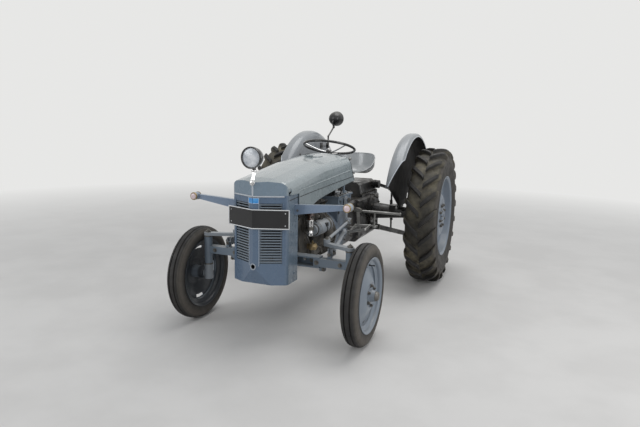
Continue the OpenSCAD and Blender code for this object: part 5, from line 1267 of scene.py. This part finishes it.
def engine_fasteners():
    rows = []
    for y in range(338, 592, 41):
        rows += [((124, y, z), (1, 0, 0), 0.8) for z in (527, 631)]
    rows += [((124, y, z), (1, 0, 0), 0.8) for y in (337, 583) for z in (562, 596)]
    rows += [((s * 112, y, 509), (s, 0, 0), 0.7) for s in (1, -1) for y in range(150, 650, 48)]
    rows += [((s * 86, y, 872), (0, 0, 1), 1.25) for s in (1, -1) for y in range(172, 640, 62)]
    rows += [((s * 112, y, 780), (s, 0, 0), 0.8) for s in (1, -1) for y in (190, 400, 610)]
    # Both faces of the clutch bell's flange
    front = bolt_circle((0, 658, BELL_Z), BELL_R, 18, (0, -1, 0), 1.1)
    back = bolt_circle((0, 720, BELL_Z), BELL_R, 18, (0, 1, 0), 1.0)
    rows += [row for pair in zip(front, back) for row in pair]
    for x, z in ((-108, 700), (108, 700), (-112, 640), (112, 640), (-104, 530), (104, 530), (-60, 474),
                 (60, 474)):
        rows.append(((x, 95, z), (0, -1, 0), 0.9))
    fasteners("engine_bolts", "chassis", rows, "worn_steel", head=8, height=6, washer=11.5)
    domes = Form()
    for y in (290, 420, 550):
        domes.turned([(992, 14), (995, 14), (996, 9), (1004, 9), (1009, 6), (1010, 0)], (0, y, 0), "Z", 16)
    ledge = [(-72, 188), (72, 188), (72, 632), (-72, 632)]
    domes.slab(ledge, 5, Matrix.Translation((0, 0, 872)))
    piece("rocker_cover_trim", domes, "dark_casting", "chassis", edge=1)


def exhaust_side():
    form = Form()
    for y in PORTS:
        form.block((-108, y - 34, 812), (-100.2, y + 34, 868))
    form.bands([(y - 9, y + 9, 45.5, 48) for y in (340, 560, 760)], SILENCER)
    form.bands([(y - 8, y + 8, 20.5, 23.5) for y in (790, 1262)], SILENCER, "Y", 32)
    form.bands([(820, 832, 22, 36)], (-150, 222, 0), "Z", 32)
    form.block((-154, 1180, 450), (-146, 1204, 560))
    form.tube([(-185, 1192, 452), (-150, 1192, 470)], 6, 8)
    piece("exhaust_fittings", form, "rusty_pipe", "chassis", edge=0.8)
    rows = [((-108.4, y + dy, 840), (-1, 0, 0), 1.0) for y in PORTS for dy in (-26, 26)]
    fasteners("manifold_nuts", "chassis", rows, "oily_brass")
    carburettor = Form()
    carburettor.turned([(700, 0), (700, 30), (704, 39.5), (728, 39.5), (730, 34), (730, 0)], CARBURETTOR,
                       "Z", 36)
    carburettor.block((-196, 396, 742), (-188, 444, 800))
    carburettor.tube(smooth([(-198, 420, 770), (-212, 470, 776), (-210, 560, 790), (-197, 600, 812)], 6),
                     17, 16)
    carburettor.tube([(-196, 404, 792), (-206, 380, 800), (-200, 340, 806), (-130, 300, 820)], 3, 8)
    piece("carburettor_fittings", carburettor, "dull_steel", "chassis", edge=0.8)
    cleaner = Form()
    cleaner.bands([(z - 7, z + 7, 37, 39.6) for z in (736, 790)], CLEANER, "Z")
    cleaner.turned([(902, 27), (902, 33), (906, 36), (914, 36), (918, 33), (920, 0)], CLEANER, "Z", 40)
    piece("cleaner_bands", cleaner, "black_paint", "chassis")


# Driver's place. The seat's middle, the rays to its pan, and the steering case's shafts and lid
SEAT_Y, SEAT_Z, SEAT_RAYS = 1560, 1014, 72
SHAFT_Y, SHAFT_Z, DROP_ARM_Z, LID_Z = 790, 836, 860, 892


def seat_edge():
    """Rolled edge along the pan's cut rim, found on the pan itself."""
    pan = Surface("seat_pan")
    middle = Vector((0, SEAT_Y, 0))
    path = []
    for a in angles(SEAT_RAYS):
        out = Vector((math.sin(a), math.cos(a), 0))
        low, high = 1000.0, 1240.0
        for _ in range(11):
            z = (low + high) / 2
            start = middle + out * 400 + Vector((0, 0, z))
            found = pan.hit(start, -out)
            on_near_side = found and (found[0] - start).length < 330
            low, high = (z, high) if on_near_side else (low, z)
        found = pan.hit(middle + out * 400 + Vector((0, 0, low - 1)), -out)
        if found:
            path.append(found[0] - out * 1.5 + Vector((0, 0, 1)))
    form = Form()
    path = [sum((path[(i + k) % len(path)] for k in (-1, 0, 1)), Vector()) / 3 for i in range(len(path))]
    form.tube(path, 4.6, 10, closed=True)
    piece("seat_edge", form, "seat_paint", "chassis")
    rows = [((x, y, SEAT_Z - (y - SEAT_Y) * math.tan(math.radians(6)) + 4.2), (0, 0.1, 1), 1.0)
            for x in (-18, 18) for y in (SEAT_Y - 60, SEAT_Y)]
    rows += [((x, 1534, 937), (0, 0, 1), 1.2) for x in (-18, 18)]
    fasteners("seat_bolts", "chassis", rows, "worn_steel", head=8, height=5, washer=13)


def steering_details():
    form = Form()
    for side in (1, -1):
        for y in (770, 850, 930, 1000):
            x0, x1 = sorted((side * 187.5, side * 196))
            form.block((x0, y, 832), (x1, y + 12, 880))
        form.turned(mirrored([(188, 30), (188, 52), (196, 50), (196, 30)], side), (0, SHAFT_Y, SHAFT_Z),
                    "X", 40, loop=True)
    form.turned([(LID_Z, 0), (LID_Z, 22), (898, 22), (900, 16), (910, 14), (912, 0)], (150, 985, 0), "Z",
                24)
    piece("steering_case_trim", form, "chassis_paint", "chassis", edge=1)
    lid = Form()
    for x0, x1, y0 in ((-196, -122, 826), (122, 196, 826), (-122, 122, 960)):
        lid.block((x0, y0, LID_Z + 0.1), (x1, 1046, LID_Z + 4))
    piece("steering_lid_top", lid, "link_paint", "chassis", edge=1.2)
    rows = [((sx * 184, y, LID_Z + 4), (0, 0, 1), 0.9) for sx in (1, -1) for y in (838, 900, 962, 1032)]
    rows += [((sx * 184, y, LID_Z), (0, 0, 1), 0.9) for sx in (1, -1) for y in (728, 780)]
    rows += [((sx * 196.2, SHAFT_Y + dy, SHAFT_Z + dz), (sx, 0, 0), 0.7) for sx in (1, -1)
             for dy, dz in ((0, 45), (0, -45), (43, 14), (-43, 14), (27, -36), (-27, -36))]
    fasteners("steering_bolts", "chassis", rows, "worn_steel", head=8, height=6, washer=11.5)
    nuts = Form()
    for side in (1, -1):
        nuts.turned(mirrored([(250, 0), (250, 22), (264, 22), (265, 12), (270, 12), (271, 0)], side),
                    (0, SHAFT_Y, DROP_ARM_Z), "X", 6)
    piece("drop_arm_nuts", nuts, "worn_steel", "chassis")
    column = Form()
    column.bands([(-60, -44, 21, 25), (-120, -108, 21, 24), (-300, -290, 21, 30)], (0, 0, 0), "Z", 32,
                 ALONG_COLUMN)
    piece("column_collars", column, "worn_steel", "chassis")


def battery_and_tank():
    form = Form()
    for x in (-80, 80):
        for y0, y1, z0, z1 in ((709, 712, 893, 1000), (822, 825, 893, 1000), (709, 825, 997, 1000.5)):
            form.block((x - 10, y0, z0), (x + 10, y1, z1))
    piece("battery_straps", form, "worn_steel", "chassis", edge=0.5)
    tops = Form()
    for x in (-90, -54, -18, 18, 54, 90):
        tops.turned([(996, 0), (996, 12), (1003, 12), (1005, 9), (1005, 0)], (x, 767, 0), "Z", 16)
    for x in (-104, 104):
        tops.turned([(996, 0), (996, 8), (1012, 7), (1012, 0)], (x, 742, 0), "Z", 14)
    tops.tube(smooth([(104, 742, 1008), (126, 752, 1006), (168, 800, 960), (170, 840, 930),
                      (160, 850, 898)], 6), 6, 10)
    tops.tube(smooth([(-104, 742, 1008), (-130, 720, 1000), (-176, 690, 900), (-170, 650, 760),
                      (-160, 600, 640)], 6), 6, 10)
    piece("battery_tops", tops, "lead_rubber", "chassis")
    tank = Form()
    for y in (470, 720):
        ring = []
        for k, corner in enumerate(((132, 1110), (-132, 1110), (-132, 1062), (132, 1062))):
            ring += arc(corner, 41.6, 90 * k, 90 * k + 90, 8)
        tank.sweep([Vector((x, y, z)) for x, z in ring], [(-10, -1.2), (10, -1.2), (10, 1.2), (-10, 1.2)],
                   closed=True, up=(0, 1, 0))
    tank.turned([(1179, 0), (1179, 37), (1182, 38.6), (1188, 38), (1190, 30), (1191, 0)], (0, 640, 0), "Z",
                40)
    piece("tank_straps", tank, "worn_steel", "chassis")


def dash_gauges():
    lean = math.atan2(116, 186)
    panel = Matrix.Translation((0, 962, 1010)) @ Matrix.Rotation(lean, 4, "X")
    rims, faces, marks = Form(), Form(), Form()
    for x in (-110, 110):
        m = panel @ Matrix.Translation((x, 0, 96))
        rims.turned([(7, 35), (7, 43), (11, 43.5), (14, 40), (14, 36), (9, 34)], (0, 0, 0), "Y", 48,
                    matrix=m, loop=True)
        faces.turned([(8, 0), (8, 36), (9.5, 36), (9.5, 0)], (0, 0, 0), "Y", 48, matrix=m)
        for k in range(11):
            a = math.radians(-40 + 26 * k)
            tick = m @ Matrix.Rotation(-a, 4, "Y") @ Matrix.Translation((-31, 9.6, 0))
            marks.block((0, 0, -0.8), (5 if k % 5 else 8, 0.5, 0.8), tick)
        needle = m @ Matrix.Rotation(math.radians(35), 4, "Y") @ Matrix.Translation((0, 10, 0))
        marks.block((-27, 0, -0.9), (7, 0.8, 0.9), needle)
        marks.turned([(9.6, 0), (9.6, 4), (11.5, 3), (11.5, 0)], (0, 0, 0), "Y", 16, matrix=m)
    rims.turned([(10, 5), (10, 12), (15, 11), (17, 7), (17, 5)], (0, 0, 0), "Y", 24,
                matrix=panel @ Matrix.Translation((-60, 0, 30)), loop=True)
    rims.turned([(0, 6), (0, 14), (6, 14), (8, 10), (26, 9), (28, 6)], (0, 0, 0), "Y", 24,
                matrix=panel @ Matrix.Translation((40, 0, 30)), loop=True)
    piece("gauge_rims", rims, "bright_metal", "chassis")
    piece("gauge_faces", faces, "gauge_face", "chassis")
    piece("gauge_marks", marks, "opal_glass", "chassis")


def pedal_treads():
    form = Form()
    for x, y, z in ((262, 1010, 742), (-236, 1010, 742), (-292, 1005, 735)):
        m = Matrix.Translation((x, y, z)) @ Matrix.Rotation(math.radians(-38), 4, "X")
        for k in range(-3, 4):
            w = math.sqrt(36 ** 2 - (k * 10) ** 2)
            form.block((-w, k * 10 - 2, 9.8), (w, k * 10 + 2, 13), m)
        form.bands([(-1, 11.5, 37, 40)], (0, 0, 0), "Z", 36, m)
    piece("pedal_treads", form, "worn_steel", "chassis", edge=0.6)
    knob = Form()
    knob.turned([(1040, 9), (1046, 14), (1050, 21), (1060, 24.5), (1070, 22.5), (1080, 14), (1084, 0)],
                (0, 1217, 0), "Z", 32)
    knob.turned([(828, 36), (836, 34), (844, 26), (850, 16), (856, 10)], (0, 1180, 0), "Z", 32)
    piece("gear_knob", knob, "black_gloss", "chassis")


# Front axle and steering joints
AXLE_Z, KINGPIN, BALL = 537.5, (555.5, -20), (360, 50)


def axle_details():
    ahead = (0, -1, 0)
    rows = []
    for side in (1, -1):
        rows += [((side * 263, 25, AXLE_Z), ahead, 1.5), ((side * 320, -36.2, AXLE_Z), ahead, 1.3),
                 ((side * 400, -6.2, 594), ahead, 1.0), ((side * 418.3, 30, 604), (side, 0, 0), 1.3),
                 ((side * 360, -6.2, 486), ahead, 1.0), ((side * 490, -36.2, AXLE_Z), ahead, 1.2)]
    rows.append(((0, -61, AXLE_Z), ahead, 2.0))
    fasteners("axle_bolts", "chassis", rows, "worn_steel", head=9, height=8, washer=13)
    for name, side in SIDES:
        cap = Form()
        king = Vector((side * KINGPIN[0], KINGPIN[1], 0))
        cap.turned([(664, 0), (664, 21), (676, 21), (677, 12), (683, 12), (684, 5), (690, 4), (692, 0)],
                   king, "Z", 6)
        cap.turned([(419, 30), (424, 33.4), (431, 33.4), (433, 30)], king, "Z", 36, loop=True)
        cap.bands([(636, 641.6, 29.4, 32)], king, "Z", 36)
        cap.turned(mirrored([(0, 0), (0, 5), (8, 5), (9, 3), (14, 3), (15, 0)], side),
                   king + Vector((side * 33, 0, 470)), "X", 10)
        piece(f"kingpin_cap_{name}", cap, "worn_steel", f"knuckle_{name}_body")
        ball = Form()
        ball.turned([(688, 0), (688, 15), (697, 15), (698, 9), (704, 9), (705, 0)],
                    (side * BALL[0], BALL[1], 0), "Z", 6)
        piece(f"ball_nut_{name}", ball, "worn_steel", f"knuckle_{name}_body")
        ends = Form()
        front, back = Vector((side * 357, 66, 680.5)), Vector((side * 264.3, 768, 690))
        ahead = (back - front).normalized()
        for t0, t1 in ((30, 58), (640, 672)):
            ends.tube([front + ahead * t0, front + ahead * t1], 14, 6)
        ends.turned(mirrored([(280.5, 0), (280.5, 20), (284, 18), (285, 0)], side), (0, SHAFT_Y, 690), "X",
                    24)
        piece(f"drag_link_fittings_{name}", ends, "worn_steel", f"drag_link_{name}_body")


def side_lamps():
    rim, lens = Form(), Form()
    for side in (1, -1):
        middle = (side * 575, 0, 948)
        rim.turned([(-171, 20), (-171, 24.6), (-168, 27.4), (-163, 28), (-160, 27), (-160, 20)], middle,
                   "Y", 40, loop=True)
        rim.turned([(-117, 24), (-117, 28.4), (-110, 28.4), (-106, 20)], middle, "Y", 40, loop=True)
        lens.turned([(-168, 0), (-168, 21), (-171.5, 20.5), (-175, 14), (-176.5, 7), (-177, 0)], middle,
                    "Y", 32)
    piece("side_lamp_rims", rim, "oily_brass", "bonnet")
    piece("side_lamp_lenses", lens, "opal_glass", "bonnet")
    rows = [((side * 207.6, -126, z), (side, 0, 0), 0.9) for side in (1, -1) for z in (888, 928)]
    rows += [((side * 224, -144.4, 905), (0, -1, 0), 0.8) for side in (1, -1)]
    fasteners("lamp_arm_bolts", "bonnet", rows, "worn_steel", head=7.5, height=6,
              washer=10)


# Rear. The take-off shaft, the pivots of lift arms and lower links, and both ends of a lift rod
TAKE_OFF_Z = 560
LIFT_PIVOT, LIFT_ARM, LIFT_LEAN = (1890, 880), 250, math.radians(15)
LOWER_PIVOT = (0, 1760, 470)
ROD_EYE, ROD_FOOT = (261.3, 2131.48, 815.3), (274.231, 2112.055, 394.723)


def rear_details():
    form = Form()
    for a in angles(6):
        m = Matrix.Translation((0, 0, TAKE_OFF_Z)) @ Matrix.Rotation(a, 4, "Y")
        form.block((-3.4, 2018, 12), (3.4, 2088, 16.6), m)
    form.bands([(2012, 2018, 14, 40)], (0, 0, TAKE_OFF_Z))
    piece("take_off_splines", form, "worn_steel", "chassis", edge=0.4)
    rows = bolt_circle((0, 2013, TAKE_OFF_Z), 49.6, 6, (0, 1, 0), 0.9)
    for side in (1, -1):
        rows += bolt_circle((side * 190, REAR_Y, REAR_R), 140, 12, (side, 0, 0), 1.1)
        rows += [((side * 140, y, 812), (0, 0, 1), 1.1) for y in range(1500, 1970, 58)]
        rows += [((side * 165, y, z), (side, 0, 0), 0.8) for y, z in ((1400, 740), (1400, 460), (1960, 470),
                                                                      (1960, 740))]
        rows += [((side * x, 1985, z), (0, 1, 0), 1.0) for x, z in ((140, 740), (150, 640), (150, 500),
                                                                    (120, 410), (60, 400), (80, 760))]
        rows += [((side * 168, 1300, z), (0, -1, 0), 1.0) for z in (450, 520, 600, 680, 750)]
        rows += [((side * 150, y, z), (side, 0, 0), 0.9) for y, z in ((840, 740), (1000, 740), (1000, 480),
                                                                      (1180, 740), (1180, 480), (840, 480))]
        rows += bolt_circle((side * 580, REAR_Y, REAR_R), 134, 10, (-side, 0, 0), 0.9)
    fasteners("casting_bolts", "chassis", rows, "worn_steel", head=9, height=7, washer=12.5)
    for name, side in SIDES:
        rod = Form()
        eye, low = (Vector((side * x, y, z)) for x, y, z in (ROD_EYE, ROD_FOOT))
        ahead = (low - eye).normalized()
        for k in range(12):
            a = eye + ahead * (50 + 5.5 * k)
            rod.tube([a, a + ahead * 2.6], 10.6, 12)
        if side < 0:
            rod.turned([(-26, 10), (-22, 20), (16, 22), (26, 16), (30, 10)], (0, 0, 0), "Z", 24,
                       matrix=set_along(eye + ahead * 44, ahead), loop=True)
        piece(f"lift_rod_thread_{name}", rod, "worn_steel", f"lift_rod_{name}_body")
        pins = Form()
        pins.turned(mirrored([(270, 0), (270, 16), (280, 16), (281, 8), (286, 8), (287, 0)], side),
                    (0, LIFT_PIVOT[0] + LIFT_ARM * math.cos(LIFT_LEAN),
                     LIFT_PIVOT[1] - LIFT_ARM * math.sin(LIFT_LEAN)), "X", 6)
        piece(f"lift_arm_pin_{name}", pins, "worn_steel", "lift_arms_body")
        stub = Form()
        stub.turned(mirrored([(249.5, 0), (249.5, 20), (254.5, 20), (255.5, 0)], side), LOWER_PIVOT, "X",
                    28)
        piece(f"lower_pin_washer_{name}", stub, "worn_steel", "chassis")


place_camera()
light_studio()
make_finishes()
FASTENERS, RING = fastener_tree(), ring_tree()
finish_solids()
lay_floor()

for side_name, side_sign in SIDES:
    front_tyre(side_name, side_sign)
    rear_tyre(side_name, side_sign)
    front_wheel(side_name, side_sign)
    rear_wheel(side_name, side_sign)
for build in (headlamp, number_plate_border, nose_trim, badge_edge, bonnet_trim, steering_wheel):
    build()
for side_name, side_sign in SIDES:
    fender(side_name, side_sign)
for build in (work_lamp_trim, ignition, dynamo_trim, fuel_side, hose_clamps, engine_fasteners, exhaust_side,
              seat_edge, steering_details, battery_and_tank, dash_gauges, pedal_treads, axle_details,
              side_lamps, rear_details):
    build()
